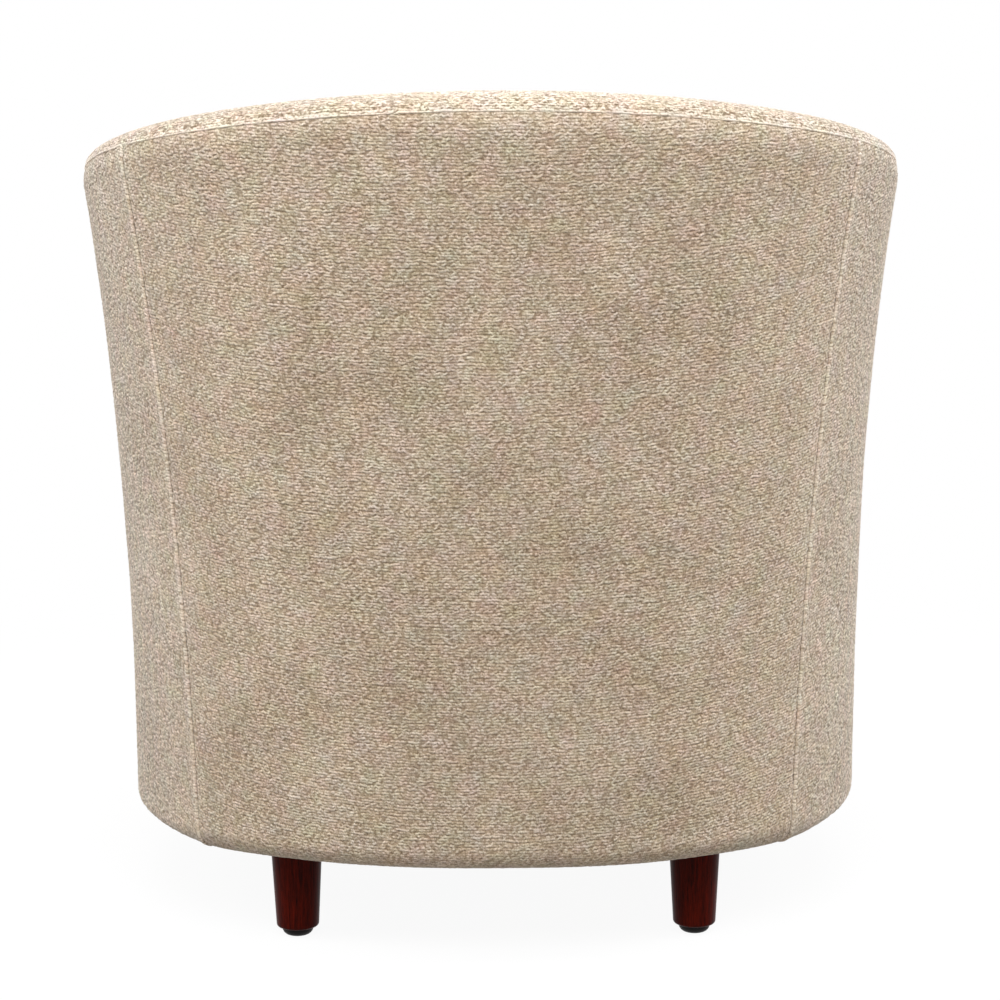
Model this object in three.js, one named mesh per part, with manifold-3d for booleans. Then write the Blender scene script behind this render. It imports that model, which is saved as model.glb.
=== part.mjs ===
// Tub chair: an upholstered tub wall wrapped round a loose seat cushion, on four turned legs.
// Millimetres, +Z up. The origin is on the floor under the middle of the chair, and the sitter faces -Y.
// Left and right are the sitter's, so the left arm is on the +X side.
import * as THREE from 'three';
import { mergeVertices } from 'three/addons/utils/BufferGeometryUtils.js';
import Module from 'manifold-3d';

const wasm = await Module();
wasm.setup();

// Overall sizes
const overallDepth = 710;
const bodyHalfWidth = 364.5; // half width of the tub at its lower edge
const backReach = 385; // from the widest place to the rear of the tub, at its lower edge
const backSquareness = 2.36; // exponent of the superellipse of the back's plan, where 2 is an ellipse
const armToeIn = 12; // how far an arm draws in between the widest place and its front
const backRailHeight = 754; // floor to the rail seam at the middle of the back
const railFall = 72; // how much lower the rail seam is at the arm fronts
const groundClearance = 83.5; // floor to the underside of the body
const flare = 46.5; // how far the wall leans out at the height of the back's rail seam
const flareExponent = 2.35; // above 1 the lean grows towards the rail
const wallThickness = 100;
const seatDeckHeight = 286.5; // floor to the top of the sprung deck under the cushion
const seatCushionThickness = 147; // at the crown

// Fits
const gap = 0.3; // between pieces that touch
const coverEase = 0.5; // between the outside cover and the frame
const cushionEase = 3.5; // between the cushion and the wall, so that it lifts out
const overrun = 5; // how far a cutting solid runs past what it cuts

// Cover and padding
const coverThickness = 4; // chenille with its lining
const edgeRadius = 20; // lower edge of the wall
const hemUnderLeg = 6; // how far the leg's top reaches in under the hem
const sideSeamLow = 303; // along the wall from the middle of the back, at the lower edge
const sideSeamHigh = 342; // the same at the rail
const seamDepth = 0.3; // width of the cut between two cover panels
const rollCrest = 44; // from the outer face to the crest of the padded rail
const rollRise = 15.5; // crest above the rail seam
const rollDrop = 46; // crest down to where the inside face begins
const facingDepth = 14.5; // padded facing of an arm front
const facingInset = 9; // how far the facing's front draws in from its edge
const borderDepth = 14.7; // padded border below the cushion's front edge
const borderInset = 8;
const padUnderSeam = 17; // top padding below the rail seam, down to the wooden rail
const leafInward = 60; // outer face of the padding behind the inside cover
const backingThickness = 1.5;
const deckThickness = 20;
const dustCoverThickness = 1.2;

// Frame
const topRailThickness = 22;
const baseRailThickness = 22;
const baseRailWidth = 80;
const frontRailWidth = 40;
const railJoint = 470; // along the wall from the middle of the back to the joint in the rails
const postDepth = 30;
const postWidth = 44;
const backPostAlong = 110; // along the wall to the near edge of a back post
const seatRailWidth = 35;
const seatRailStart = 200; // along the wall to the rear end of a side seat rail
const seatRailHeight = 50;
const crossRailWidth = 24; // the two rails that carry the springs
const crossRailHeight = 52;
const springClearance = 17; // top of a cross rail below the underside of the deck
const backCrossRail = 138; // front face of the rear cross rail, behind the origin
const blockLength = 64;
const blockWidth = 46;
const blockHeight = 26;

// Springs and their clips
const springCount = 4;
const springSpacing = 108;
const wireDiameter = 3.6;
const wireSides = 5;
const springHalfWidth = 22;
const springLoops = 15; // half waves between the two clips
const springStepsPerLoop = 6;
const springTail = 0.5; // radians of wave past each clip
const clipThickness = 1.2;
const clipWidth = 11;
const clipEase = 0.6; // between the wire and its clip
const clipTab = 9;
const clipSteps = 6;

// Legs
const legTopDiameter = 47;
const legFootDiameter = 39.5;
const legChamfer = 1.5; // round the top
const legFootRound = 3; // round the foot
const glideDiameter = 29;
const glideFlatDiameter = 15;
const glideHeight = 7.7;
const glideLip = 0.9; // straight rim above the dome
const legInward = 53; // from the outer face of the wall to the leg's axis
const backLegAlong = 221; // along the wall from the middle of the back
const frontLegSetback = 48; // along the wall from the arm front
const boltDiameter = 8;
const boltInLeg = 36;
const boltEase = 0.4; // radial, in the drilled holes
const boltChamfer = 1;
const legSides = 16;
const glideSides = 12;
const boltSides = 10;

// Cushion
const cushionCrown = 32; // middle of the top above its edge seam
const cushionCorner = 42; // radius of the two front corners
const cushionFrontBow = 6; // the front edge bows out by this at its middle
const cushionFrontSet = 6; // cushion's front behind the front of the border
const cushionLowSeam = 13; // lower seam above the cushion's underside
const cushionCoverThickness = 2.5;
const zipLength = 300;
const zipWidth = 8;
const zipThickness = 1.8;

// Facets
const stationsPerSide = 20; // steps along the wall from the middle of the back to an arm front
const levelCount = 4; // steps up the wall below the part that follows the rail
const rollSteps = 3;
const innerRollSteps = 4;
const edgeSteps = 3;

// Share of a half outline's parameter that runs round the back, the rest being the arm
const backParameterShare = 0.7;

const halfDepth = overallDepth / 2;
const widestY = halfDepth - backReach - flare;
const armFrontY = -halfDepth + borderDepth + gap;
const armLength = widestY - armFrontY;
const steadyHeight = backRailHeight - railFall - padUnderSeam - topRailThickness - wallThickness / 3;
const hemWidth = legInward - legTopDiameter / 2 + hemUnderLeg; // cover turned under the frame
const levelStep = (steadyHeight - groundClearance) / levelCount;
const levels = Array.from({ length: levelCount + 1 }, (_, k) => groundClearance + k * levelStep);

// Half of the tub's plan: a quarter of a superellipse from the middle of the back to the widest place,
// then an arm that draws in along an S, so that its front is square to the chair.
class HalfPlan extends THREE.Curve {
  getPoint(t, target = new THREE.Vector2()) {
    if (t < backParameterShare) {
      const angle = (t / backParameterShare) * (Math.PI / 2);
      const x = bodyHalfWidth * Math.sin(angle) ** (2 / backSquareness);
      return target.set(x, widestY + backReach * Math.cos(angle) ** (2 / backSquareness));
    }
    const share = (t - backParameterShare) / (1 - backParameterShare);
    const drawn = (armToeIn * (1 - Math.cos(Math.PI * share))) / 2;
    return target.set(bodyHalfWidth - drawn, widestY - armLength * share);
  }
}

const halfPlan = new HalfPlan();
halfPlan.arcLengthDivisions = 2000;
const halfLength = halfPlan.getLength();
const stationStep = halfLength / stationsPerSide;
const stations = halfPlan.getSpacedPoints(stationsPerSide).map((point, k, all) => {
  const mirroredX = ({ x, y }) => new THREE.Vector2(-x, y);
  const mirroredY = ({ x, y }) => new THREE.Vector2(x, 2 * point.y - y);
  const before = k === 0 ? mirroredX(all[1]) : all[k - 1];
  const after = k === stationsPerSide ? mirroredY(all[k - 1]) : all[k + 1];
  const run = after.clone().sub(before).normalize();
  return { point, normal: new THREE.Vector2(-run.y, run.x) };
});

// Place on the plan at a length s from the middle of the back, positive on the left. Between two stations
// it runs straight, so every piece that follows the wall shares the same facets.
function along(s) {
  const place = Math.abs(s) / stationStep;
  const k = Math.min(Math.floor(place), stationsPerSide - 1);
  const point = stations[k].point.clone().lerp(stations[k + 1].point, place - k);
  const normal = stations[k].normal.clone().lerp(stations[k + 1].normal, Math.min(place - k, 1));
  const side = Math.sign(s) || 1;
  return { x: side * point.x, y: point.y, nx: side * normal.x, ny: normal.y };
}

// Lean of the wall at a height, straight between two levels.
function leanAt(height) {
  const place = Math.max(height - groundClearance, 0) / levelStep;
  const k = Math.floor(place);
  const exact = (z) => {
    const share = Math.max(z - groundClearance, 0) / (backRailHeight - groundClearance);
    return flare * share ** flareExponent;
  };
  if (k >= levelCount) {
    const top = levels[levelCount];
    const slope = (flare - exact(top)) / (backRailHeight - top);
    return exact(top) + (height - top) * slope;
  }
  const low = exact(levels[k]);
  return low + (exact(levels[k + 1]) - low) * (place - k);
}

// Height of the rail seam: level at the back, falling in one smooth S to a level arm front, and straight
// between two stations.
function railHeight(s) {
  const place = Math.min(Math.abs(s) / stationStep, stationsPerSide);
  const k = Math.min(Math.floor(place), stationsPerSide - 1);
  const exact = (station) => {
    const fallen = (1 - Math.cos((Math.PI * station) / stationsPerSide)) / 2;
    return backRailHeight - railFall * fallen;
  };
  return THREE.MathUtils.lerp(exact(k), exact(k + 1), place - k);
}

// Point of the wall at a length along it, a depth in from its outer face, and a height.
function wallPoint(s, inward, height, leanHeight = height) {
  const place = along(s);
  const out = leanAt(leanHeight) - inward;
  return new THREE.Vector3(place.x + place.nx * out, place.y + place.ny * out, height);
}

function levelsBetween(low, high) {
  return levels.filter((level) => level > low && level < high);
}

// Solids from rings

// A geometry from points and triangles, turned the right way round by the sign of its volume.
function geometryFrom(points, triangles) {
  let volume = 0;
  for (const [a, b, c] of triangles) {
    volume += points[a].dot(points[b].clone().cross(points[c]));
  }
  const faces = volume < 0 ? triangles.map(([a, b, c]) => [a, c, b]) : triangles;
  const geometry = new THREE.BufferGeometry();
  const numbers = points.flatMap((point) => [point.x, point.y, point.z]);
  geometry.setAttribute('position', new THREE.Float32BufferAttribute(numbers, 3));
  geometry.setIndex(faces.flat());
  return geometry;
}

// The four-sided faces between two rings are bent a little. Each is split from the end of its edge that
// lies nearer the outer face, or lower, so that two faces that lie on each other bend alike.
function splitFace(outline, r, i, j) {
  const size = outline.length;
  const [from, to] = [outline[i], outline[j]];
  const a = r * size + i;
  const b = r * size + j;
  const forward = from[0] + from[1] < to[0] + to[1];
  return forward
    ? [[a, b, b + size], [a, b + size, a + size]]
    : [[a, b, a + size], [b, b + size, a + size]];
}

// A closed solid through a row of rings with equal numbers of points. The two end outlines say how the
// flat ends are filled.
function loft(rings, firstOutline, lastOutline) {
  const size = rings[0].length;
  const triangles = [];
  for (let r = 0; r + 1 < rings.length; r++) {
    for (let i = 0; i < size; i++) {
      triangles.push(...splitFace(firstOutline, r, i, (i + 1) % size));
    }
  }
  const fill = (outline, start, forward) => {
    const flat = outline.map(([u, v]) => new THREE.Vector2(u, v));
    const sense = Math.sign(THREE.ShapeUtils.area(flat));
    for (const [a, b, c] of THREE.ShapeUtils.triangulateShape(flat, [])) {
      const same = Math.sign(THREE.ShapeUtils.area([flat[a], flat[b], flat[c]])) === sense;
      triangles.push((same === forward ? [a, b, c] : [a, c, b]).map((i) => start + i));
    }
  };
  fill(firstOutline, 0, false);
  fill(lastOutline, (rings.length - 1) * size, true);
  return geometryFrom(rings.flat(), triangles);
}

// A closed solid through rings that shrink to a point at both ends.
function closedLoft(first, rings, last) {
  const size = rings[0].length;
  const triangles = [];
  const end = rings.length * size;
  for (let i = 0; i < size; i++) {
    const next = (i + 1) % size;
    triangles.push([end, next, i]);
    triangles.push([end + 1, end - size + i, end - size + next]);
  }
  for (let r = 0; r + 1 < rings.length; r++) {
    for (let i = 0; i < size; i++) {
      const a = r * size + i;
      const b = r * size + ((i + 1) % size);
      triangles.push([a, b, b + size], [a, b + size, a + size]);
    }
  }
  return geometryFrom([...rings.flat(), first, last], triangles);
}

// Lengths along the wall at which a piece is cut into facets.
function cutsBetween(from, to) {
  const cuts = [from];
  for (let k = -stationsPerSide; k <= stationsPerSide; k++) {
    const s = k * stationStep;
    if (s > from + gap && s < to - gap) {
      cuts.push(s);
    }
  }
  return [...cuts, to];
}

// A piece that follows the wall from one length to another. sectionAt gives its section there as pairs of
// depth in from the outer face and height.
function wallPiece(from, to, sectionAt) {
  const cuts = cutsBetween(from, to);
  const sections = cuts.map(sectionAt);
  const rings = sections.map((section, i) =>
    section.map(([inward, height]) => wallPoint(cuts[i], inward, height)),
  );
  return loft(rings, sections[0], sections.at(-1));
}

// A rectangular section that follows the wall's levels between a low and a high height.
function bandSection(near, far, low, high, levelLimit = high) {
  const between = levelsBetween(low, levelLimit);
  const heights = [low, ...between, high];
  return [...heights.map((z) => [near, z]), ...heights.reverse().map((z) => [far, z])];
}

// Points of a quarter of an ellipse from its side to its top, first and last included.
function quarter(centreX, centreZ, radiusX, radiusZ, steps) {
  return Array.from({ length: steps + 1 }, (_, i) => {
    const angle = ((Math.PI / 2) * i) / steps;
    return [centreX + radiusX * Math.cos(angle), centreZ + radiusZ * Math.sin(angle)];
  });
}

// Joining and cutting
function toManifold(geometry) {
  const bare = geometry.clone();
  bare.deleteAttribute('normal');
  bare.deleteAttribute('uv');
  const merged = mergeVertices(bare);
  const vertProperties = new Float32Array(merged.attributes.position.array);
  const triVerts = new Uint32Array(merged.index.array);
  return new wasm.Manifold(new wasm.Mesh({ numProp: 3, vertProperties, triVerts }));
}

function fromManifold(solid) {
  const { vertProperties, triVerts } = solid.getMesh();
  const geometry = new THREE.BufferGeometry();
  geometry.setAttribute('position', new THREE.BufferAttribute(new Float32Array(vertProperties), 3));
  geometry.setIndex(new THREE.BufferAttribute(new Uint32Array(triVerts), 1));
  return geometry;
}

function cut(geometry, ...cutters) {
  const take = (left, cutter) => left.subtract(toManifold(cutter));
  return fromManifold(cutters.reduce(take, toManifold(geometry)));
}

// A turned piece about the Z axis, from pairs of radius and height that start and end on the axis.
function turned(pairs, sides) {
  const profile = pairs.map(([radius, height]) => new THREE.Vector2(radius, height));
  return new THREE.LatheGeometry(profile, sides).rotateX(Math.PI / 2);
}

// A drill along Z.
function drill(radius, low, high) {
  const geometry = new THREE.CylinderGeometry(radius, radius, high - low, boltSides);
  return geometry.rotateX(Math.PI / 2).translate(0, 0, (low + high) / 2);
}

// A tube through points that lie nearly in a level plane, with flat ends.
function wire(points, radius, sides) {
  const up = new THREE.Vector3(0, 0, 1);
  const outline = Array.from({ length: sides }, (_, i) => {
    const angle = (2 * Math.PI * i) / sides;
    return [radius * Math.cos(angle), radius * Math.sin(angle)];
  });
  const rings = points.map((point, i) => {
    const after = points[Math.min(i + 1, points.length - 1)];
    const before = points[Math.max(i - 1, 0)];
    const run = after.clone().sub(before).normalize();
    const across = run.clone().cross(up).normalize();
    const rise = across.clone().cross(run);
    return outline.map(([u, v]) => point.clone().addScaledVector(across, u).addScaledVector(rise, v));
  });
  return loft(rings, outline, outline);
}

// Materials
const finishes = {
  chenille: { color: '#b7a993', roughness: 0.95, metalness: 0 },
  beech: { color: '#c9a877', roughness: 0.7, metalness: 0 },
  plywood: { color: '#c8ab80', roughness: 0.75, metalness: 0 },
  mahoganyStain: { color: '#4a0f0a', roughness: 0.35, metalness: 0 },
  springSteel: { color: '#8c8f92', roughness: 0.4, metalness: 1 },
  zincedSteel: { color: '#b4b8ba', roughness: 0.4, metalness: 1 },
  blackNylon: { color: '#151414', roughness: 0.5, metalness: 0 },
  foam: { color: '#e8dfc6', roughness: 0.95, metalness: 0 },
  felt: { color: '#8d8a84', roughness: 0.95, metalness: 0 },
  hessian: { color: '#a98f66', roughness: 0.95, metalness: 0 },
  blackFleece: { color: '#1c1c1d', roughness: 0.95, metalness: 0 },
  zipTape: { color: '#a39680', roughness: 0.8, metalness: 0 },
};

const chair = new THREE.Group();

function add(group, name, geometry, finish) {
  const mesh = new THREE.Mesh(geometry, new THREE.MeshStandardMaterial(finishes[finish]));
  mesh.name = name;
  group.add(mesh);
  return mesh;
}

// Both sides of the chair, as a name ending and a sign for lengths along the wall.
const sides = [
  ['left', 1],
  ['right', -1],
];

// A wall piece on one side only, from the nearer length to the farther one.
function sidePiece(sign, near, far, sectionAt) {
  return sign > 0 ? wallPiece(near, far, sectionAt) : wallPiece(-far, -near, sectionAt);
}

// Places of the legs, on the plan.
const frontLegAlong = halfLength - frontLegSetback;
const legPlaces = [
  ['front_left', frontLegAlong],
  ['front_right', -frontLegAlong],
  ['back_left', backLegAlong],
  ['back_right', -backLegAlong],
].map(([name, s]) => ({ name, s, centre: wallPoint(s, legInward, groundClearance) }));

function legHoles(radius, low, high) {
  return legPlaces.map(({ centre }) => drill(radius, low, high).translate(centre.x, centre.y, 0));
}

// Wooden frame
const frameFace = coverThickness + coverEase;
const baseLow = groundClearance + frameFace;
const baseHigh = baseLow + baseRailThickness;
const baseFar = frameFace + baseRailWidth;
const topRailHigh = (s) => railHeight(s) - padUnderSeam - gap;
const topRailLow = (s) => topRailHigh(s) - topRailThickness;
const postFar = frameFace + postDepth;
const seatRailNear = postFar + gap;
const seatRailFar = seatRailNear + seatRailWidth;
const deckLow = seatDeckHeight - deckThickness;
const seatRailHigh = deckLow - gap;
const seatRailLow = seatRailHigh - seatRailHeight;
const crossRailHigh = deckLow - springClearance;
const crossRailLow = crossRailHigh - crossRailHeight;
const boltHoleRadius = boltDiameter / 2 + boltEase;

// The base rail's lower outer edge is rounded where the cover turns under it.
function baseRailSection() {
  const centre = groundClearance + edgeRadius;
  const radius = edgeRadius - frameFace;
  const round = quarter(edgeRadius, centre, -radius, -radius, edgeSteps);
  return [[frameFace, baseHigh], ...round, [baseFar, baseLow], [baseFar, baseHigh]];
}

function topRailSection(s) {
  return bandSection(frameFace, leafInward - gap, topRailLow(s), topRailHigh(s));
}

function postSection(s) {
  return bandSection(frameFace, postFar, baseHigh + gap, topRailLow(s) - gap, steadyHeight + gap);
}

function seatRailSection() {
  return bandSection(seatRailNear, seatRailFar, seatRailLow, seatRailHigh);
}

// Half width of the space inside the wall at a given Y, at a depth in from the wall's outer face.
function halfWidthAt(y, inward, height) {
  let k = 1;
  while (k < stationsPerSide && wallPoint(k * stationStep, inward, height).y > y) {
    k += 1;
  }
  const before = wallPoint((k - 1) * stationStep, inward, height);
  const after = wallPoint(k * stationStep, inward, height);
  return THREE.MathUtils.mapLinear(y, before.y, after.y, before.x, after.x);
}

// A straight bar across the chair, from its front face back.
function crossBar(halfSpan, frontY, width, low, high) {
  const bar = new THREE.BoxGeometry(2 * halfSpan, width, high - low);
  return bar.translate(0, frontY + width / 2, (low + high) / 2);
}

function buildFrame() {
  const frame = new THREE.Group();
  const holes = legHoles(boltHoleRadius, baseLow - overrun, baseHigh + overrun);
  const drilled = (geometry) => cut(geometry, ...holes);
  add(frame, 'top_rail_back', wallPiece(-railJoint, railJoint, topRailSection), 'plywood');
  add(frame, 'base_rail_back', drilled(wallPiece(-railJoint, railJoint, baseRailSection)), 'plywood');
  for (const [side, sign] of sides) {
    const near = railJoint + gap;
    add(frame, `top_rail_${side}`, sidePiece(sign, near, halfLength, topRailSection), 'plywood');
    add(frame, `base_rail_${side}`, drilled(sidePiece(sign, near, halfLength, baseRailSection)), 'plywood');
    const posts = [
      ['back_post', backPostAlong],
      ['side_post', railJoint - postWidth / 2],
      ['arm_post', halfLength - postWidth],
    ];
    for (const [name, start] of posts) {
      add(frame, `${name}_${side}`, sidePiece(sign, start, start + postWidth, postSection), 'beech');
    }
    add(frame, `seat_rail_${side}`, sidePiece(sign, seatRailStart, halfLength, seatRailSection), 'beech');
  }
  const baseSpan = wallPoint(halfLength, baseFar, baseLow).x - gap;
  add(frame, 'base_rail_front', crossBar(baseSpan, armFrontY, frontRailWidth, baseLow, baseHigh), 'beech');
  const meetingLow = Math.max(seatRailLow, crossRailLow);
  const frontSpan = wallPoint(halfLength, seatRailFar, meetingLow).x - gap;
  const frontBar = crossBar(frontSpan, armFrontY, crossRailWidth, crossRailLow, crossRailHigh);
  add(frame, 'seat_rail_front', frontBar, 'beech');
  const backSpan = halfWidthAt(backCrossRail + crossRailWidth, seatRailFar, meetingLow) - gap;
  const backBar = crossBar(backSpan, backCrossRail, crossRailWidth, crossRailLow, crossRailHigh);
  add(frame, 'seat_rail_back', backBar, 'beech');
  return frame;
}

// Corner blocks on the base rails take the leg bolts.
function buildBlocks() {
  const blocks = new THREE.Group();
  const low = baseHigh + gap;
  const section = () => bandSection(seatRailNear, seatRailNear + blockWidth, low, low + blockHeight);
  for (const { name, s, centre } of legPlaces) {
    const block = wallPiece(s - blockLength / 2, s + blockLength / 2, section);
    const hole = drill(boltHoleRadius, low - overrun, low + blockHeight + overrun);
    hole.translate(centre.x, centre.y, 0);
    add(blocks, `leg_block_${name}`, cut(block, hole), 'beech');
  }
  return blocks;
}

// Legs, their bolts and their glides
const legTop = groundClearance - gap;
const legFoot = glideHeight + gap;
const footSteps = 2;
const domeSteps = 3;

function legGeometry() {
  const top = legTopDiameter / 2;
  const foot = legFootDiameter / 2;
  const boreFloor = legTop - boltInLeg - boltEase;
  const roundCentre = legFoot + legFootRound;
  const footRound = quarter(foot - legFootRound, roundCentre, legFootRound, -legFootRound, footSteps);
  return turned(
    [
      [0, legFoot],
      ...footRound.reverse(),
      [top, legTop - legChamfer],
      [top - legChamfer, legTop],
      [boltHoleRadius, legTop],
      [boltHoleRadius, boreFloor],
      [0, boreFloor],
    ],
    legSides,
  );
}

function glideGeometry() {
  const flat = glideFlatDiameter / 2;
  const rim = glideDiameter / 2;
  const domeHeight = glideHeight - glideLip;
  const dome = quarter(flat, domeHeight, rim - flat, -domeHeight, domeSteps).reverse();
  return turned([[0, 0], ...dome, [rim, glideHeight], [0, glideHeight]], glideSides);
}

function boltGeometry() {
  const radius = boltDiameter / 2;
  const low = legTop - boltInLeg;
  const high = baseHigh + gap + blockHeight;
  return turned(
    [
      [0, low],
      [radius - boltChamfer, low],
      [radius, low + boltChamfer],
      [radius, high - boltChamfer],
      [radius - boltChamfer, high],
      [0, high],
    ],
    boltSides,
  );
}

function buildLegs() {
  const legs = new THREE.Group();
  for (const { name, centre } of legPlaces) {
    const place = new THREE.Group();
    place.position.set(centre.x, centre.y, 0);
    add(place, `leg_${name}`, legGeometry(), 'mahoganyStain');
    add(place, `glide_${name}`, glideGeometry(), 'blackNylon');
    add(place, `leg_bolt_${name}`, boltGeometry(), 'zincedSteel');
    legs.add(place);
  }
  return legs;
}

// Sinuous seat springs. In plan a spring is x = a sin(w), y = p (w - sin(2w) / 2) / pi, so that the wire
// runs straight across the spring at each crossing, where a clip can hold it, and loops at the sides.
const wireRadius = wireDiameter / 2;
const clipHole = wireRadius + clipEase;
const clipCentreHeight = crossRailHigh + gap + clipThickness + clipHole;
const frontClipY = armFrontY + crossRailWidth / 2;
const backClipY = backCrossRail + crossRailWidth / 2;

function springPoints(x) {
  const run = backClipY - frontClipY;
  const pitch = run / springLoops;
  const crown = deckLow - gap - wireRadius - clipCentreHeight;
  const first = -springTail;
  const last = springLoops * Math.PI + springTail;
  const count = springLoops * springStepsPerLoop;
  return Array.from({ length: count + 1 }, (_, i) => {
    const wave = first + ((last - first) * i) / count;
    const forward = (pitch * (wave - Math.sin(2 * wave) / 2)) / Math.PI;
    const share = THREE.MathUtils.clamp(forward / run, 0, 1);
    const height = clipCentreHeight + crown * Math.sin(Math.PI * share);
    return new THREE.Vector3(x + springHalfWidth * Math.sin(wave), frontClipY + forward, height);
  });
}

// Least gap between two parts of one spring, over points that are more than half a loop apart.
function leastWireGap(points) {
  let least = Infinity;
  for (let i = 0; i < points.length; i++) {
    for (let j = i + springStepsPerLoop; j < points.length; j++) {
      least = Math.min(least, points[i].distanceTo(points[j]) - wireDiameter);
    }
  }
  return least;
}

// A bent strip that lies on the rail and hooks over the wire, open towards the spring.
function clipGeometry(towards) {
  const inner = clipHole;
  const outer = clipHole + clipThickness;
  const arc = (radius, from, to) =>
    Array.from({ length: clipSteps + 1 }, (_, i) => {
      const angle = from + ((to - from) * i) / clipSteps;
      return [-towards * radius * Math.cos(angle), radius * Math.sin(angle)];
    });
  const bottom = -Math.PI / 2;
  const lip = (Math.PI * 5) / 8;
  const outline = [
    [towards * clipTab, -outer],
    ...arc(outer, bottom, lip),
    ...arc(inner, lip, bottom),
    [towards * clipTab, -inner],
  ];
  const ends = [-clipWidth / 2, clipWidth / 2];
  const rings = ends.map((x) => outline.map(([y, z]) => new THREE.Vector3(x, y, z)));
  return loft(rings, outline, outline);
}

function buildSprings() {
  const springs = new THREE.Group();
  for (let i = 0; i < springCount; i++) {
    const x = (i - (springCount - 1) / 2) * springSpacing;
    const points = springPoints(x);
    add(springs, `seat_spring_${i + 1}`, wire(points, wireRadius, wireSides), 'springSteel');
    const ends = [
      ['front', frontClipY, 1],
      ['back', backClipY, -1],
    ];
    for (const [name, y, towards] of ends) {
      const clip = add(springs, `spring_clip_${name}_${i + 1}`, clipGeometry(towards), 'zincedSteel');
      clip.position.set(x, y, clipCentreHeight);
    }
  }
  console.log('least gap of a seat spring to itself, mm:', leastWireGap(springPoints(0)).toFixed(1));
  return springs;
}

// Upholstery

// Line down the outside of the wall and under its edge, at a depth below the surface.
function wrapLine(s, depth) {
  const seam = railHeight(s) - gap;
  const turn = groundClearance + edgeRadius;
  const radius = edgeRadius - depth;
  const face = levelsBetween(turn, steadyHeight + gap).reverse();
  const round = quarter(edgeRadius, turn, -radius, -radius, edgeSteps);
  return [[depth, seam], ...face.map((z) => [depth, z]), ...round, [hemWidth, groundClearance + depth]];
}

// Line over the padded rail and down the inside of the wall, at a depth below the surface.
function rollLine(s, depth, low) {
  const seam = railHeight(s);
  const crest = seam + rollRise;
  const outer = quarter(rollCrest, seam, depth - rollCrest, rollRise - depth, rollSteps);
  const innerReach = wallThickness - rollCrest - depth;
  const inner = quarter(rollCrest, crest - rollDrop, innerReach, rollDrop - depth, innerRollSteps).reverse();
  const face = [...levelsBetween(low, steadyHeight + gap).reverse(), low];
  return [...outer, ...inner.slice(1), ...face.map((z) => [wallThickness - depth, z])];
}

const insideLow = seatDeckHeight + gap;

function outsideSection(s) {
  return [...wrapLine(s, 0), ...wrapLine(s, coverThickness).reverse()];
}

function insideCoverSection(s) {
  return [...rollLine(s, 0, insideLow), ...rollLine(s, coverThickness, insideLow).reverse()];
}

// Foam over the wooden rail and down behind the inside cover, in one piece.
function paddingSection(s) {
  const depth = coverThickness + gap;
  const shelf = railHeight(s) - padUnderSeam;
  const heights = [insideLow, ...levelsBetween(insideLow, steadyHeight + gap), shelf];
  const behind = heights.map((z) => [leafInward, z]);
  return [...rollLine(s, depth, insideLow), ...behind, [depth, shelf]];
}

function backingSection(s) {
  const far = leafInward - gap;
  return bandSection(far - backingThickness, far, insideLow, topRailLow(s) - gap, steadyHeight + gap);
}

// A thin blade along a side seam, which leans with the seam.
function seamBlade(sign) {
  const lowest = groundClearance - overrun;
  const highest = backRailHeight + overrun;
  const heights = [lowest, ...levelsBetween(lowest, highest), highest];
  const rings = heights.map((z) => {
    const share = (z - groundClearance) / (backRailHeight - groundClearance);
    const s = sign * (sideSeamLow + (sideSeamHigh - sideSeamLow) * share);
    const corner = (offset, inward) => wallPoint(s + offset, inward, z, Math.min(z, backRailHeight));
    const half = seamDepth / 2;
    const far = hemWidth + overrun;
    return [corner(-half, -overrun), corner(half, -overrun), corner(half, far), corner(-half, far)];
  });
  const square = [
    [0, 0],
    [1, 0],
    [1, 1],
    [0, 1],
  ];
  return loft(rings, square, square);
}

// The outside cover is one wrap cut along its two side seams into a back panel and two arm panels.
function buildOutside() {
  const outside = new THREE.Group();
  const wrap = cut(wallPiece(-halfLength, halfLength, outsideSection), seamBlade(1), seamBlade(-1));
  for (const panel of toManifold(wrap).decompose()) {
    const { min, max } = panel.boundingBox();
    const middle = (min[0] + max[0]) / 2;
    const side = middle > 0 ? 'left' : 'right';
    const name = Math.abs(middle) < overrun ? 'outside_back_panel' : `outside_arm_panel_${side}`;
    add(outside, name, fromManifold(panel), 'chenille');
  }
  return outside;
}

// Padded facing over an arm front: the wall's own section, drawn in towards its front face.
function facingGeometry(sign) {
  const middleHeight = (groundClearance + railHeight(halfLength)) / 2;
  const outline = (inset) => {
    const seam = railHeight(halfLength);
    const near = wallThickness / 2;
    const wide = (near - inset) / near;
    const tall = (seam - middleHeight - inset) / (seam - middleHeight);
    const outer = wrapLine(halfLength, 0).slice(0, -1).reverse();
    const line = [...outer, ...rollLine(halfLength, 0, groundClearance)];
    return line.map(([inward, z]) => {
      const height = middleHeight + (z - middleHeight) * tall;
      return [near + (inward - near) * wide, height];
    });
  };
  const edge = halfLength + gap;
  const steps = [
    [edge, 0],
    [edge + facingDepth / 2, 0],
    [edge + facingDepth * (7 / 8), facingInset / 3],
    [edge + facingDepth, facingInset],
  ];
  const rings = steps.map(([s, inset]) =>
    outline(inset).map(([inward, z]) => wallPoint(sign * s, inward, z)),
  );
  return loft(rings, outline(0), outline(facingInset));
}

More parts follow.
